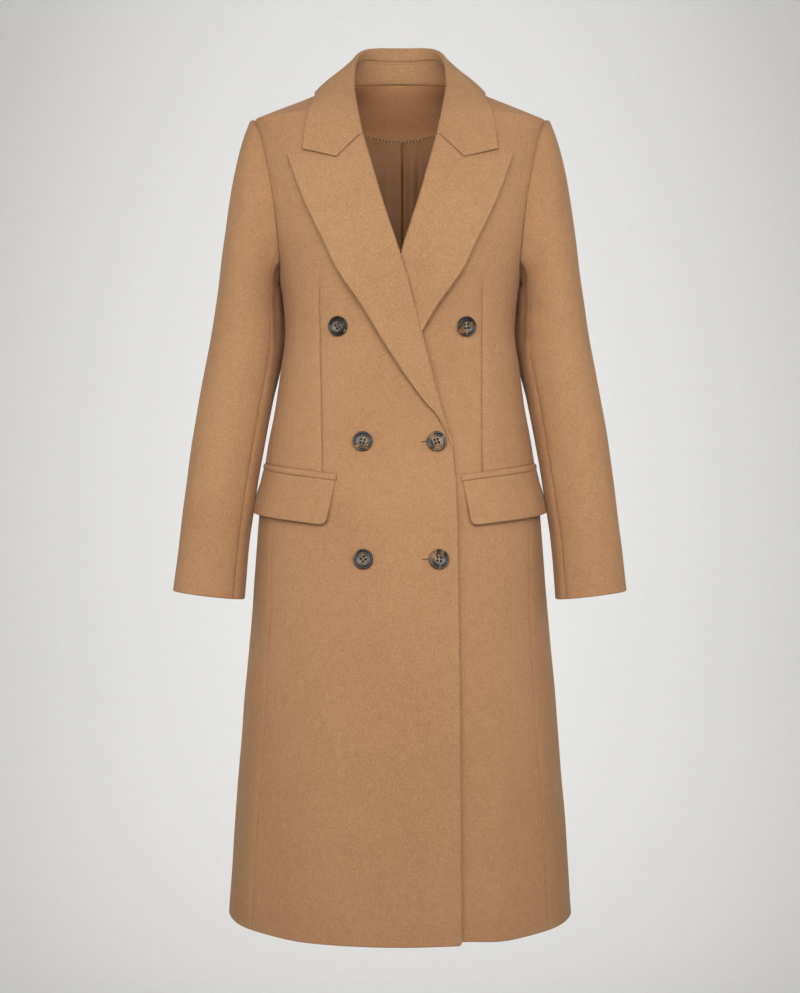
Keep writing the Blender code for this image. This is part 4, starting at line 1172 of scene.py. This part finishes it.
def sleeve_pieces(side, material):
    """The top sleeve over the shoulder and arm, and the under sleeve between the same two seams."""
    word = WORD[side]
    front = float(turn_at(UNDERARM, True))
    back = float(turn_at(SLEEVE_SEAM_BACK, False)) - 360
    surface = on_sleeve(side)
    cap = np.concatenate([NEAR[:-1] / 1.5, run(7, 100, 2.4)[:-1]])
    arm = run(100, 196, 1.6)[:-1]
    v = np.concatenate([cap, arm, 200 - NEAR[::-1] * 0.26])
    pieces = []
    for part, low, high, count in (("top", back, front, 56), ("under", front, back + 360, 34)):
        ends = [low + 0 * v, high + 0 * v]
        metric = [np.linalg.norm(sleeve(e + 0.5, v) - sleeve(e - 0.5, v), axis=-1) for e in ends]
        ends = [ends[0] + GAP / 2 / metric[0], ends[1] - GAP / 2 / metric[1]]
        turn = between(ends, [count], metric)
        rows = np.broadcast_to(v[:, None], turn.shape)
        points = surface(turn, rows)
        out = creases(SLEEVE_CREASES, "turn", ARM_DEGREE, turn % 360, points[..., 2])
        from_tip = (turn + 180) % 360 - 180
        out = out + unevenness(points) + TIP_FILL * np.exp(-((from_tip / 14) ** 2) - rows / 3)
        below_cap = ease((rows - 104) / 22)
        from_first = (turn - turn[:, :1]) * metric[0][:, None]
        from_last = (turn[:, -1:] - turn) * metric[1][:, None]
        for beside in (from_first, from_last):
            out = out - SEAM_GROOVE * np.exp(-((beside / 0.8) ** 2)) * below_cap
        if part == "under":
            out = out - UNDER_DROP * np.exp(-((from_first / 6) ** 2)) * below_cap
        at_seam = FINE_ROLL * (1 - 0.9 * np.exp(-((from_tip / 16) ** 2)))
        along_arm = 0.25 + 0.65 * below_cap
        edges = {"first": "seam", "last": "seam", "low": "seam", "high": HEM_WIDTH}
        name = f"sleeve_{part}_{word}_cloth"
        lap = sleeve_lap(turn[0], out[0], np.array([side, 1.0, 1.0]))
        pieces.append(
            cloth(
                name, surface, turn, rows, edges, out, way=side, material=material, lap=lap,
                roll=np.where(rows < 12, at_seam, along_arm),
            )
        )
    return pieces


# ---------------------------------------------------------------- pockets


def on_side(side):
    """One side's front as a surface of angle and height, following its tuck."""

    def surface(angle, height):
        across = body(side * angle, height)[..., 0]
        return on_body(side * angle, height, -tuck(across, height, side))

    return surface


def flap_top(share):
    """The angle and height of the flap's top edge: a straight slope from its front to its back."""
    angle = FLAP["angle"][0] + (FLAP["angle"][1] - FLAP["angle"][0]) * share
    return angle, FLAP["height"][0] + (FLAP["height"][1] - FLAP["height"][0]) * share


def pocket(side, material):
    """The flap, which hangs a little free of the front, and the narrow welt above it."""
    word = WORD[side]
    share = np.concatenate([NEAR / FLAP_PITCH, run(0.1, 0.9, 0.028), 1 - NEAR[::-1] / FLAP_PITCH])
    along = np.concatenate([NEAR / FLAP_DROP, run(0.2, 0.8, 0.06), 1 - NEAR[::-1] / FLAP_DROP])
    share, along = np.meshgrid(share, along)
    angle, top = flap_top(share)
    angle = angle + FLAP_BOTTOM_SHIFT * along
    near_corner = rolled(share * FLAP_PITCH, FLAP_CORNERS[0]) * ease((along - 0.7) / 0.3) ** 2
    far_corner = rolled((1 - share) * FLAP_PITCH, FLAP_CORNERS[1]) * ease((along - 0.8) / 0.2) ** 2
    height = top - FLAP_DROP * along + near_corner * 0.95 + far_corner
    out = WOOL + GAP + (6.4 + 1.0 * share) * ease(along) + 0.8 * np.sin(np.pi * share) * along
    out = out + body_relief(side * angle, height)
    edges = {"first": EDGE_TURN, "last": EDGE_TURN, "high": EDGE_TURN, "low": "seam"}
    flap = cloth(
        f"pocket_flap_{word}_cloth", on_side(side), angle, height, edges, out, FLAP_THICK, side,
        material, roll=FINE_ROLL,
    )
    share = np.concatenate([NEAR[:-1] / FLAP_PITCH, run(0.06, 0.94, 0.03), 1 - NEAR[:-1][::-1] / FLAP_PITCH])
    share, along = np.meshgrid(-0.012 + 1.012 * share, np.linspace(0, 1, 15))
    angle, top = flap_top(share)
    height = top + GAP + WELT_HEIGHT * along
    cord = 1.4 * np.sqrt(np.clip(1 - (2 * along - 1) ** 2, 0.02, 1))
    out = 1.5 + cord + body_relief(side * angle, height)
    edges = {"first": "seam", "last": "seam"}
    welt = cloth(
        f"pocket_welt_{word}_cloth", on_side(side), angle, height, edges, out, WELT_THICK, side,
        material, roll=FINE_ROLL,
    )
    return flap, welt


# ---------------------------------------------------------------- thread


def stitches(name, starts, ends, ups, radius, rise, material):
    """Short threads as one mesh. Each is a six-sided tube from its start to its end along a line
    that arches up in the middle, and its ring radius falls to a point at both ends."""
    starts, ends, ups = (np.atleast_2d(np.asarray(p, float)) for p in (starts, ends, ups))
    count, rings, sides = len(starts), 7, 6
    t = np.linspace(0, 1, rings)
    way = unit(ends - starts)
    ups = unit(ups - (ups * way).sum(-1, keepdims=True) * way)
    across = np.cross(way, ups)
    centre = starts[:, None] + (ends - starts)[:, None] * t[:, None]
    centre = centre + ups[:, None] * (rise * (1 - (2 * t - 1) ** 4))[:, None]
    size = radius * np.sqrt(np.clip(1 - (2 * t - 1) ** 8, 0.01, 1))
    a = np.arange(sides) / sides * 2 * np.pi
    ring = np.cos(a)[:, None] * ups[:, None, None] + np.sin(a)[:, None] * across[:, None, None]
    points = centre[:, :, None] + size[:, None, None] * ring
    index = np.arange(count * rings * sides).reshape(count, rings, sides)
    faces = [ring_quads(index)]
    for end, turn in ((0, 1), (-1, -1)):
        cap = index[:, end][:, ::turn]
        faces += [cap[:, [0, 3, 2, 1]], cap[:, [0, 5, 4, 3]]]
    return closed_mesh(name, points.reshape(-1, 3), np.concatenate(faces), material)


def seam_stitches(name, surface, u, v, out, length, radius, material, way=1):
    """A row of stitches along a line of a surface, each a share of the stitch length long."""
    line = moved_out(surface, u, v, way * out)
    beyond = moved_out(surface, u, v, way * (out + 1.0))
    reached = reached_by(np.linalg.norm(np.diff(line, axis=0), axis=-1))
    starts = np.arange(length, reached[-1] - length, length)

    def at(places, points):
        return np.stack([np.interp(places, reached, points[:, k]) for k in range(3)], axis=-1)

    up = at(starts, beyond) - at(starts, line)
    return stitches(name, at(starts, line), at(starts + 0.72 * length, line), up, radius, 0.12, material)


def collar_stitching(material):
    """The rows of stitching inside the collar, above and below the seam between fall and stand, and above
    the neck seam. Their thread is darker than the cloth: painted shade along the stitched lines."""
    u = run(-62, 62, 0.5)
    rows = {"fall": -91.0, "stand": -110.5, "neck": -193.5}
    return [
        seam_stitches(f"collar_stitches_{word}", collar, u, v + 0 * u, 0.2, 2.6, 0.27, material)
        for word, v in rows.items()
    ]


def lining_stitches(material):
    """The small upright stitches that fell the lining's gathered top to the facing."""
    x = np.arange(-62, 62, GATHER_SPACING)
    table = {"angle": run(105, 180, 0.25)}
    table["x"] = body(table["angle"], smooth(FACING_EDGE, "height", table["angle"], "angle"))[:, 0]
    own = np.interp(np.abs(x), table["x"][::-1], table["angle"][::-1])
    angle = own * np.sign(x)
    top = smooth(FACING_EDGE, "height", own, "angle")
    off = INSIDE + FACING_OUT + unevenness(body(angle, top)) * 0.5
    ends = [on_body(angle, top + rise, -(off + out)) for rise, out in ((1.3, 0.2), (-1.6, 0.1))]
    up = on_body(angle, top, -8.0) - on_body(angle, top, -2.0)
    return stitches("lining_stitches", ends[0], ends[1], up, 0.42, 0.4, material)


def buttonhole(name, height, thread, dark):
    """A worked buttonhole: a dark slit between two close rows of upright stitches, and a fan of stitches
    round its eye. The slit is a thin strip laid on the cloth, coloured dark as painted shade for the
    opening."""
    surface = on_side(RIGHT)

    def place(x, z, out):
        return moved_out(surface, -angle_at(x, z), z, -out)

    x = np.arange(BUTTONHOLE_START + 1.0, BUTTONS["button_middle_left"][0] + 4, 0.62)
    starts, ends, ups = [], [], []
    for way in (1, -1):
        low, high = height + way * 0.45, height + way * 1.7
        starts.append(place(x, low, 0.12))
        ends.append(place(x, high, 0.12))
        ups.append(place(x, high, 3.0) - place(x, high, 1.0))
    fan = np.radians(np.linspace(100, 260, 9))
    eye = BUTTONHOLE_START + 1.0
    starts.append(place(eye + 0.5 * np.cos(fan), height + 0.5 * np.sin(fan), 0.12))
    ends.append(place(eye + 1.7 * np.cos(fan), height + 1.7 * np.sin(fan), 0.12))
    ups.append(place(eye + 0 * fan, height, 3.0) - place(eye + 0 * fan, height, 1.0))
    ring = stitches(
        f"{name}_thread", *(np.concatenate(p) for p in (starts, ends, ups)), 0.3, 0.22, thread
    )
    # The slit: a thin strip on the cloth in a dark colour, painted shade for the opening.
    u = np.linspace(eye - 0.5, x[-1], 40)
    slit_half = 0.42 * np.sqrt(np.clip(1 - np.linspace(-1, 1, 40) ** 10, 0.02, 1))
    share = np.linspace(-1, 1, 5)[:, None]
    shown = place(u[None] + 0 * share, height + slit_half * share, 0.14)
    hidden = place(u[None] + 0 * share, height + slit_half * share, -0.5)
    return ring, wall(f"{name}_slit", shown, hidden, dark)


# ---------------------------------------------------------------- buttons


def button_place(x, height, side):
    """The place of a button on the outer cloth, and its ways across, up and outward."""
    surface = on_side(side)
    beside = 6.0  # how far to each side the cloth's slope is taken
    heights = height + np.array([0, 0, -beside, beside])
    near = surface(side * angle_at(np.array([x - beside, x + beside, x, x]), heights), heights)
    outward = unit(np.cross(near[1] - near[0], near[3] - near[2]))
    base = surface(side * angle_at(np.array(x), height), np.array(height))
    across = unit(np.cross(np.array([0.0, 0.0, 1.0]), outward))
    return base, np.array([across, np.cross(outward, across), outward])


def button_heights(x, y):
    """Four sewing holes in a square, as how far each point of the button's face is pressed in."""
    half = HOLE_SPACING / 2
    depth = 0.0
    for cx in (-half, half):
        for cy in (-half, half):
            away = np.hypot(x - cx, y - cy)
            depth = depth + HOLE_DEPTH * ease((HOLE_RADIUS - away) / 0.3 + 0.5)
            depth = depth - 0.08 * np.exp(-(((away - HOLE_RADIUS - 0.35) / 0.35) ** 2))
    return depth


def button(name, x, height, turned, horn, thread):
    """A turned button on its thread: a profile of radius and height carried round its axis, with
    the holes pressed into its face, and the threads of its shank below."""
    side = LEFT if name == "button_upper_left" else RIGHT
    base, ways = button_place(x, height, side)
    outline = BUTTON_PROFILE
    step = np.hypot(np.diff(outline["radius"]), np.diff(outline["height"]))
    reached = reached_by(step)
    table = {"along": reached, "radius": outline["radius"], "height": outline["height"]}
    bands = [(0.12, 4.9, 0.16), (4.9, 7.6, 0.6), (7.6, 15.6, 0.22), (15.6, reached[-1] - 0.3, 2.0)]
    along = np.concatenate([run(*band)[1:] for band in bands])
    radius = np.maximum(smooth(table, "radius", along, "along"), 0.1)
    rise = smooth(table, "height", along, "along")
    sides = 80
    a = np.arange(sides) / sides * 2 * np.pi
    px, py = radius[:, None] * np.cos(a), radius[:, None] * np.sin(a)
    on_face = (along < 6)[:, None]
    pz = rise[:, None] - button_heights(px, py) * on_face
    local = np.stack([px, py, pz + 0 * px], axis=-1).reshape(-1, 3)
    rings = len(along)
    index = np.arange(rings * sides).reshape(rings, sides)
    faces = [ring_quads(index)]
    fan = np.arange(1, sides - 1, 2)
    for ring in (index[0][::-1], index[-1]):
        faces.append(quads(ring[0] + 0 * fan, ring[fan], ring[fan + 1], ring[(fan + 2) % sides]))
    t = np.radians(turned)
    spin = np.array([[np.cos(t), np.sin(t), 0], [-np.sin(t), np.cos(t), 0], [0, 0, 1]])
    frame_ways = spin @ ways
    seat = base + BUTTON_STANDOFF * ways[2]
    disc = closed_mesh(f"{name}_horn", local @ frame_ways + seat, np.concatenate(faces), horn)
    # pressed_in also carries the holes to the horn material, which paints them near black as painted shade.
    pressed_in = (button_heights(px, py) * on_face).ravel()
    for word, values in (("from_centre", np.hypot(local[:, 0], local[:, 1])), ("pressed_in", pressed_in)):
        layer = disc.data.attributes.new(word, "FLOAT", "POINT")
        layer.data.foreach_set("value", values.astype(np.float32))
    turns = np.radians(np.arange(0, 360, 30))
    foot = np.column_stack([1.6 * np.cos(turns), 1.6 * np.sin(turns), -0.8 + 0 * turns])
    head = np.column_stack([1.3 * np.cos(turns + 1), 1.3 * np.sin(turns + 1), 1.2 + 0 * turns])
    around = np.column_stack([np.cos(turns), np.sin(turns), 0 * turns])
    shank = stitches(
        f"{name}_shank", foot @ frame_ways + seat, head @ frame_ways + seat, around @ frame_ways,
        0.42, 0.2, thread,
    )
    return disc, shank


# ---------------------------------------------------------------- materials


def linear(hex_colour):
    """An sRGB hex value as linear red, green, blue and alpha."""
    share = np.array([int(hex_colour[k : k + 2], 16) for k in (0, 2, 4)]) / 255
    return (*np.where(share < 0.04045, share / 12.92, ((share + 0.055) / 1.055) ** 2.4), 1.0)


def add(tree, kind, settings=None, **links):
    """Adds a node, sets its own settings, and sets or links its inputs by name."""
    node = tree.nodes.new(kind)
    for key, value in (settings or {}).items():
        setattr(node, key, value)
    for key, value in links.items():
        numbered = key[0] == "i" and key[1:].isdigit()
        socket = node.inputs[int(key[1:]) if numbered else key.replace("_", " ")]
        if isinstance(value, bpy.types.NodeSocket):
            tree.links.new(value, socket)
        else:
            socket.default_value = value
    return node


def material_of(name):
    """A new material, its node tree and its shader."""
    made = bpy.data.materials.new(name)
    made.use_nodes = True
    return made, made.node_tree, made.node_tree.nodes["Principled BSDF"]


def mixed(tree, share, dark, light):
    """A colour between two, by a share."""
    node = add(tree, "ShaderNodeMix", {"data_type": "RGBA"}, i0=share)
    for socket, value in ((node.inputs[6], dark), (node.inputs[7], light)):
        if isinstance(value, bpy.types.NodeSocket):
            tree.links.new(value, socket)
        else:
            socket.default_value = value
    return node.outputs[2]


def melton_wool(name, dark, light):
    """Brushed woollen coating: a milled weave under a short nap, so it is matt and softly mottled,
    and pale where it turns away from the eye. The nap's tufts are about 1 mm; they are drawn wider,
    because finer ones don't show from where the coat is seen."""
    made, tree, shader = material_of(name)
    where = add(tree, "ShaderNodeTexCoord").outputs["Object"]
    lying = add(tree, "ShaderNodeMapping", Vector=where, Scale=(1.0, 1.0, 0.8)).outputs[0]
    tufts = add(
        tree, "ShaderNodeTexNoise", Vector=lying, Scale=1 / (NAP * MM), Detail=3.0, Roughness=0.65
    ).outputs["Fac"]
    clumps = add(
        tree, "ShaderNodeTexNoise", Vector=lying, Scale=1 / (9 * MM), Detail=2.0, Distortion=0.6
    ).outputs["Fac"]
    brushed = add(
        tree, "ShaderNodeTexNoise", Vector=where, Scale=1 / (120 * MM), Detail=2.0, Roughness=0.5
    ).outputs["Fac"]
    fine = add(tree, "ShaderNodeMapRange", Value=tufts, i1=0.3, i2=0.7).outputs[0]
    coarse = add(tree, "ShaderNodeMapRange", Value=clumps, i1=0.3, i2=0.7).outputs[0]
    broad = add(tree, "ShaderNodeMapRange", Value=brushed, i1=0.3, i2=0.7).outputs[0]
    part = add(tree, "ShaderNodeMath", {"operation": "MULTIPLY"}, i0=coarse, i1=0.15).outputs[0]
    part = add(tree, "ShaderNodeMath", {"operation": "MULTIPLY_ADD"}, i0=fine, i1=0.7, i2=part).outputs[0]
    part = add(tree, "ShaderNodeMath", {"operation": "MULTIPLY_ADD"}, i0=broad, i1=0.15, i2=part).outputs[0]
    tree.links.new(mixed(tree, part, linear(dark), linear(light)), shader.inputs["Base Color"])
    grain = add(
        tree, "ShaderNodeTexNoise", Vector=where, Scale=1 / (1.1 * MM), Detail=2.0, Roughness=0.6
    ).outputs["Fac"]
    nap = add(tree, "ShaderNodeMath", {"operation": "MULTIPLY_ADD"}, i0=grain, i1=0.4, i2=tufts).outputs[0]
    bump = add(tree, "ShaderNodeBump", Strength=0.4, Distance=0.4 * MM, Height=nap)
    tree.links.new(bump.outputs[0], shader.inputs["Normal"])
    rough = add(tree, "ShaderNodeMapRange", Value=tufts, i3=0.88, i4=1.0).outputs[0]
    tree.links.new(rough, shader.inputs["Roughness"])
    shader.inputs["Specular IOR Level"].default_value = 0.25
    shader.inputs["Sheen Weight"].default_value = 0.22
    shader.inputs["Sheen Roughness"].default_value = 0.45
    shader.inputs["Sheen Tint"].default_value = linear("E6CDAF")
    return made


def satin_lining(name, dark, light):
    """Acetate satin: long floats of smooth yarn, so it has a soft broad shine and faint upright
    ribs. The yarns are about 0.2 mm; the ribs are drawn 1.2 mm apart so that they show at all."""
    made, tree, shader = material_of(name)
    where = add(tree, "ShaderNodeTexCoord").outputs["Object"]
    yarns = add(tree, "ShaderNodeMapping", Vector=where, Scale=(1.0, 1.0, 0.02)).outputs[0]
    ribs = add(tree, "ShaderNodeTexNoise", Vector=yarns, Scale=1 / (1.2 * MM), Detail=2.0).outputs["Fac"]
    cloudy = add(tree, "ShaderNodeTexNoise", Vector=where, Scale=1 / (35 * MM), Detail=1.0).outputs["Fac"]
    part = add(tree, "ShaderNodeMath", {"operation": "MULTIPLY_ADD"}, i0=ribs, i1=0.16, i2=0.17).outputs[0]
    part = add(tree, "ShaderNodeMath", {"operation": "MULTIPLY_ADD"}, i0=cloudy, i1=0.5, i2=part).outputs[0]
    tree.links.new(mixed(tree, part, linear(dark), linear(light)), shader.inputs["Base Color"])
    bump = add(tree, "ShaderNodeBump", Strength=0.06, Distance=0.1 * MM, Height=ribs)
    tree.links.new(bump.outputs[0], shader.inputs["Normal"])
    rough = add(tree, "ShaderNodeMapRange", Value=ribs, i3=0.5, i4=0.62).outputs[0]
    tree.links.new(rough, shader.inputs["Roughness"])
    shader.inputs["Specular IOR Level"].default_value = 0.32
    shader.inputs["Specular Tint"].default_value = linear("F0D2B0")
    return made


def polished_horn(name):
    """Polished buffalo horn: nearly black at the rim, with honey patches, and smoky beige in the dish, where
    it is turned thinnest, under a hard gloss. The sewing holes are painted near black and without shine, as
    painted shade inside them."""
    made, tree, shader = material_of(name)
    where = add(tree, "ShaderNodeTexCoord").outputs["Object"]
    grown = add(
        tree, "ShaderNodeMapping", Vector=where, Rotation=(0.3, 0.5, 0.6), Scale=(1.0, 1.0, 0.6)
    ).outputs[0]
    cloud = add(
        tree, "ShaderNodeTexNoise", Vector=grown, Scale=1 / (15 * MM), Detail=3.0, Distortion=1.2
    ).outputs["Fac"]
    streaks = add(
        tree, "ShaderNodeTexNoise", Vector=grown, Scale=1 / (5 * MM), Detail=2.0, Distortion=1.5
    ).outputs["Fac"]
    smoke = add(tree, "ShaderNodeMapRange", Value=streaks, i1=0.42, i2=0.75).outputs[0]
    dark = mixed(tree, smoke, linear("13110E"), linear("35302A"))
    honey = add(tree, "ShaderNodeMapRange", Value=cloud, i1=0.55, i2=0.64).outputs[0]
    amber = mixed(tree, smoke, linear("6E4A22"), linear("A37F52"))
    outer = mixed(tree, honey, dark, amber)
    centre = add(tree, "ShaderNodeAttribute", {"attribute_name": "from_centre"}).outputs["Fac"]
    wandering = add(
        tree, "ShaderNodeMath", {"operation": "MULTIPLY_ADD"}, i0=cloud, i1=9.0, i2=centre
    ).outputs[0]
    dish = add(tree, "ShaderNodeMapRange", Value=wandering, i1=11.5, i2=8.5).outputs[0]
    grey = mixed(tree, smoke, linear("5A4D3F"), linear("A08B6E"))
    face = mixed(tree, dish, outer, grey)
    # The sewing holes are painted near black and lose their shine: painted shade inside the holes.
    depth = add(tree, "ShaderNodeAttribute", {"attribute_name": "pressed_in"}).outputs["Fac"]
    hole_painted_shade = add(tree, "ShaderNodeMapRange", Value=depth, i1=0.3, i2=1.0).outputs[0]
    tree.links.new(mixed(tree, hole_painted_shade, face, linear("060504")), shader.inputs["Base Color"])
    shine = add(tree, "ShaderNodeMapRange", Value=hole_painted_shade, i3=0.42, i4=0.0).outputs[0]
    tree.links.new(shine, shader.inputs["Specular IOR Level"])
    rough = add(tree, "ShaderNodeMapRange", Value=dish, i3=0.26, i4=0.5).outputs[0]
    tree.links.new(rough, shader.inputs["Roughness"])
    shader.inputs["IOR"].default_value = 1.5
    return made


def twisted_thread(name, dark, light):
    """Spun polyester sewing thread: plies twisted about 0.5 mm apart, slightly shiny."""
    made, tree, shader = material_of(name)
    where = add(tree, "ShaderNodeTexCoord").outputs["Object"]
    plies = add(tree, "ShaderNodeTexNoise", Vector=where, Scale=1 / (0.5 * MM), Detail=1.0).outputs["Fac"]
    tree.links.new(mixed(tree, plies, linear(dark), linear(light)), shader.inputs["Base Color"])
    bump = add(tree, "ShaderNodeBump", Strength=0.3, Distance=0.08 * MM, Height=plies)
    tree.links.new(bump.outputs[0], shader.inputs["Normal"])
    shader.inputs["Roughness"].default_value = 0.6
    shader.inputs["Sheen Weight"].default_value = 0.2
    return made


def backdrop_paper():
    """Seamless background paper: matt, with a faint tooth."""
    made, tree, shader = material_of("seamless_paper")
    where = add(tree, "ShaderNodeTexCoord").outputs["Object"]
    tooth = add(tree, "ShaderNodeTexNoise", Vector=where, Scale=30.0, Detail=2.0).outputs["Fac"]
    tree.links.new(mixed(tree, tooth, linear("E4E4E3"), linear("E8E8E7")), shader.inputs["Base Color"])
    shader.inputs["Roughness"].default_value = 0.95
    return made


# ---------------------------------------------------------------- studio


def backdrop():
    """A sheet of paper that is the floor and curves up into the wall behind: a straight line, a
    quarter circle and a straight line, carried across."""
    floor, wall_y, radius, reach = -2000.0, 3700.0, 900.0, 6000.0
    a = np.linspace(0, np.pi / 2, 24)
    y = np.concatenate([[-reach], wall_y - radius + radius * np.sin(a), [wall_y]])
    z = np.concatenate([[floor], floor + radius - radius * np.cos(a), [reach]])
    x = np.array([-reach, reach])
    points = np.stack([x[None] + 0 * y[:, None], y[:, None] + 0 * x, z[:, None] + 0 * x], axis=-1)
    index = np.arange(len(y) * 2).reshape(-1, 2)
    faces = quads(index[:-1, 0], index[:-1, 1], index[1:, 1], index[1:, 0])
    mesh = bpy.data.meshes.new("backdrop")
    mesh.from_pydata((points.reshape(-1, 3) * MM).tolist(), [], faces.tolist())
    mesh.shade_smooth()
    mesh.materials.append(backdrop_paper())
    sheet = bpy.data.objects.new("backdrop", mesh)
    bpy.context.scene.collection.objects.link(sheet)


def soft_light(name, place, aim, size, power, spread):
    """A square area light that faces a point, with a grid that narrows it to some degrees."""
    lamp = bpy.data.lights.new(name, "AREA")
    lamp.energy, lamp.size, lamp.spread = power, size, np.radians(spread)
    light = bpy.data.objects.new(name, lamp)
    bpy.context.scene.collection.objects.link(light)
    light.location = place
    way = np.array(aim) - np.array(place)
    flat = np.hypot(way[0], way[1])
    light.rotation_euler = (np.arctan2(flat, -way[2]), 0, np.arctan2(way[0], -way[1]) + np.pi)


def studio():
    """Pale paper with its own lights, an even pale sky, a broad light above the camera, weaker ones
    on either side of it and one at each side."""
    backdrop()
    world = bpy.data.worlds.new("studio")
    world.use_nodes = True
    world.node_tree.nodes["Background"].inputs[0].default_value = SKY_COLOUR
    world.node_tree.nodes["Background"].inputs[1].default_value = SKY_STRENGTH
    bpy.context.scene.world = world
    for name, settings in LIGHTS.items():
        soft_light(name, *settings)
    bpy.context.scene.view_settings.view_transform = "Standard"


def camera():
    """Straight in front and level, with the picture's long side giving the lens."""
    lens = bpy.data.cameras.new("camera")
    lens.sensor_width = 36.0
    lens.lens = lens.sensor_width * CAMERA_DISTANCE / (PICTURE[1] * MM_PER_PIXEL * MM)
    viewer = bpy.data.objects.new("camera", lens)
    viewer.location = (0, -CAMERA_DISTANCE, CAMERA_HEIGHT)
    viewer.rotation_euler = (np.pi / 2, 0, 0)
    bpy.context.scene.collection.objects.link(viewer)
    bpy.context.scene.camera = viewer


# ---------------------------------------------------------------- putting it together


def settle(piece, slot, *nodes):
    """A piece rides on the one body and stands for these CAD nodes, which it hides. The slot is not used."""
    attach(piece, "root")
    if nodes:
        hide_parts(*nodes)
    return piece


def main():
    """The materials, each piece with what it rides on and stands for, the studio and the camera."""
    wool = melton_wool("melton_wool_body", "986D4A", "BA8F68")
    # A slightly lighter copy of the body's wool for the lapels and collar: painted light, as they face up
    # into the light.
    turned_wool_painted_lighter = melton_wool("melton_wool_lapel_painted_lighter", "986D4B", "BB926A")
    inner_wool = melton_wool("melton_wool_facing", "9E6F4B", "BC885E")
    satin = satin_lining("acetate_satin", "82593F", "9F7553")
    horn = polished_horn("polished_horn")
    tan = twisted_thread("tan_thread", "A5774E", "C79A70")
    pale = twisted_thread("pale_thread", "DCC3A4", "F0DCC2")
    # A darker brown than the cloth, for the collar's rows of stitching: painted shade along the stitched
    # lines.
    shade = twisted_thread("stitch_thread_painted_shade", "6E4A30", "8E6544")
    brown = twisted_thread("brown_thread", "2B1E16", "4A3627")
    # slit_shadow is a dark colour on a thread material: painted shade for the buttonholes' slits.
    slit = twisted_thread("slit_shadow", "2A1A10", "3A2618")
    for side, word in WORD.items():
        front = settle(front_panel(side, wool), "wool", f"front_{word}")
        panel = settle(side_panel(side, wool), "wool", f"side_{word}")
        back = settle(back_panel(side, wool), "wool", f"back_{word}")
        turned = settle(lapel_piece(side, turned_wool_painted_lighter), "wool", f"lapel_{word}")
        top, under = sleeve_pieces(side, wool)
        settle(top, "wool", f"sleeve_top_{word}")
        settle(under, "wool", f"sleeve_under_{word}")
        flap, welt = pocket(side, wool)
        settle(flap, "wool", f"pocket_flap_{word}")
        settle(welt, "wool", f"pocket_welt_{word}")
    fall, stand = collar_pieces(turned_wool_painted_lighter)
    settle(fall, "wool", "collar_fall")
    settle(stand, "wool", "collar_stand")
    facing = settle(neck_facing(inner_wool), "wool", "neck_facing")
    settle(lining(satin), "satin", "lining_back")
    for row in collar_stitching(shade):
        settle(row, "wool")
    settle(lining_stitches(pale), "satin")
    for name, (x, height, turned) in BUTTONS.items():
        disc, shank = button(name, x, height, turned, horn, brown)
        settle(disc, "horn", name)
        settle(shank, "horn")
    for word in ("middle", "lower"):
        height = BUTTONS[f"button_{word}_left"][1]
        for part in buttonhole(f"buttonhole_{word}", height, tan, slit):
            settle(part, "wool")
    studio()
    camera()


main()
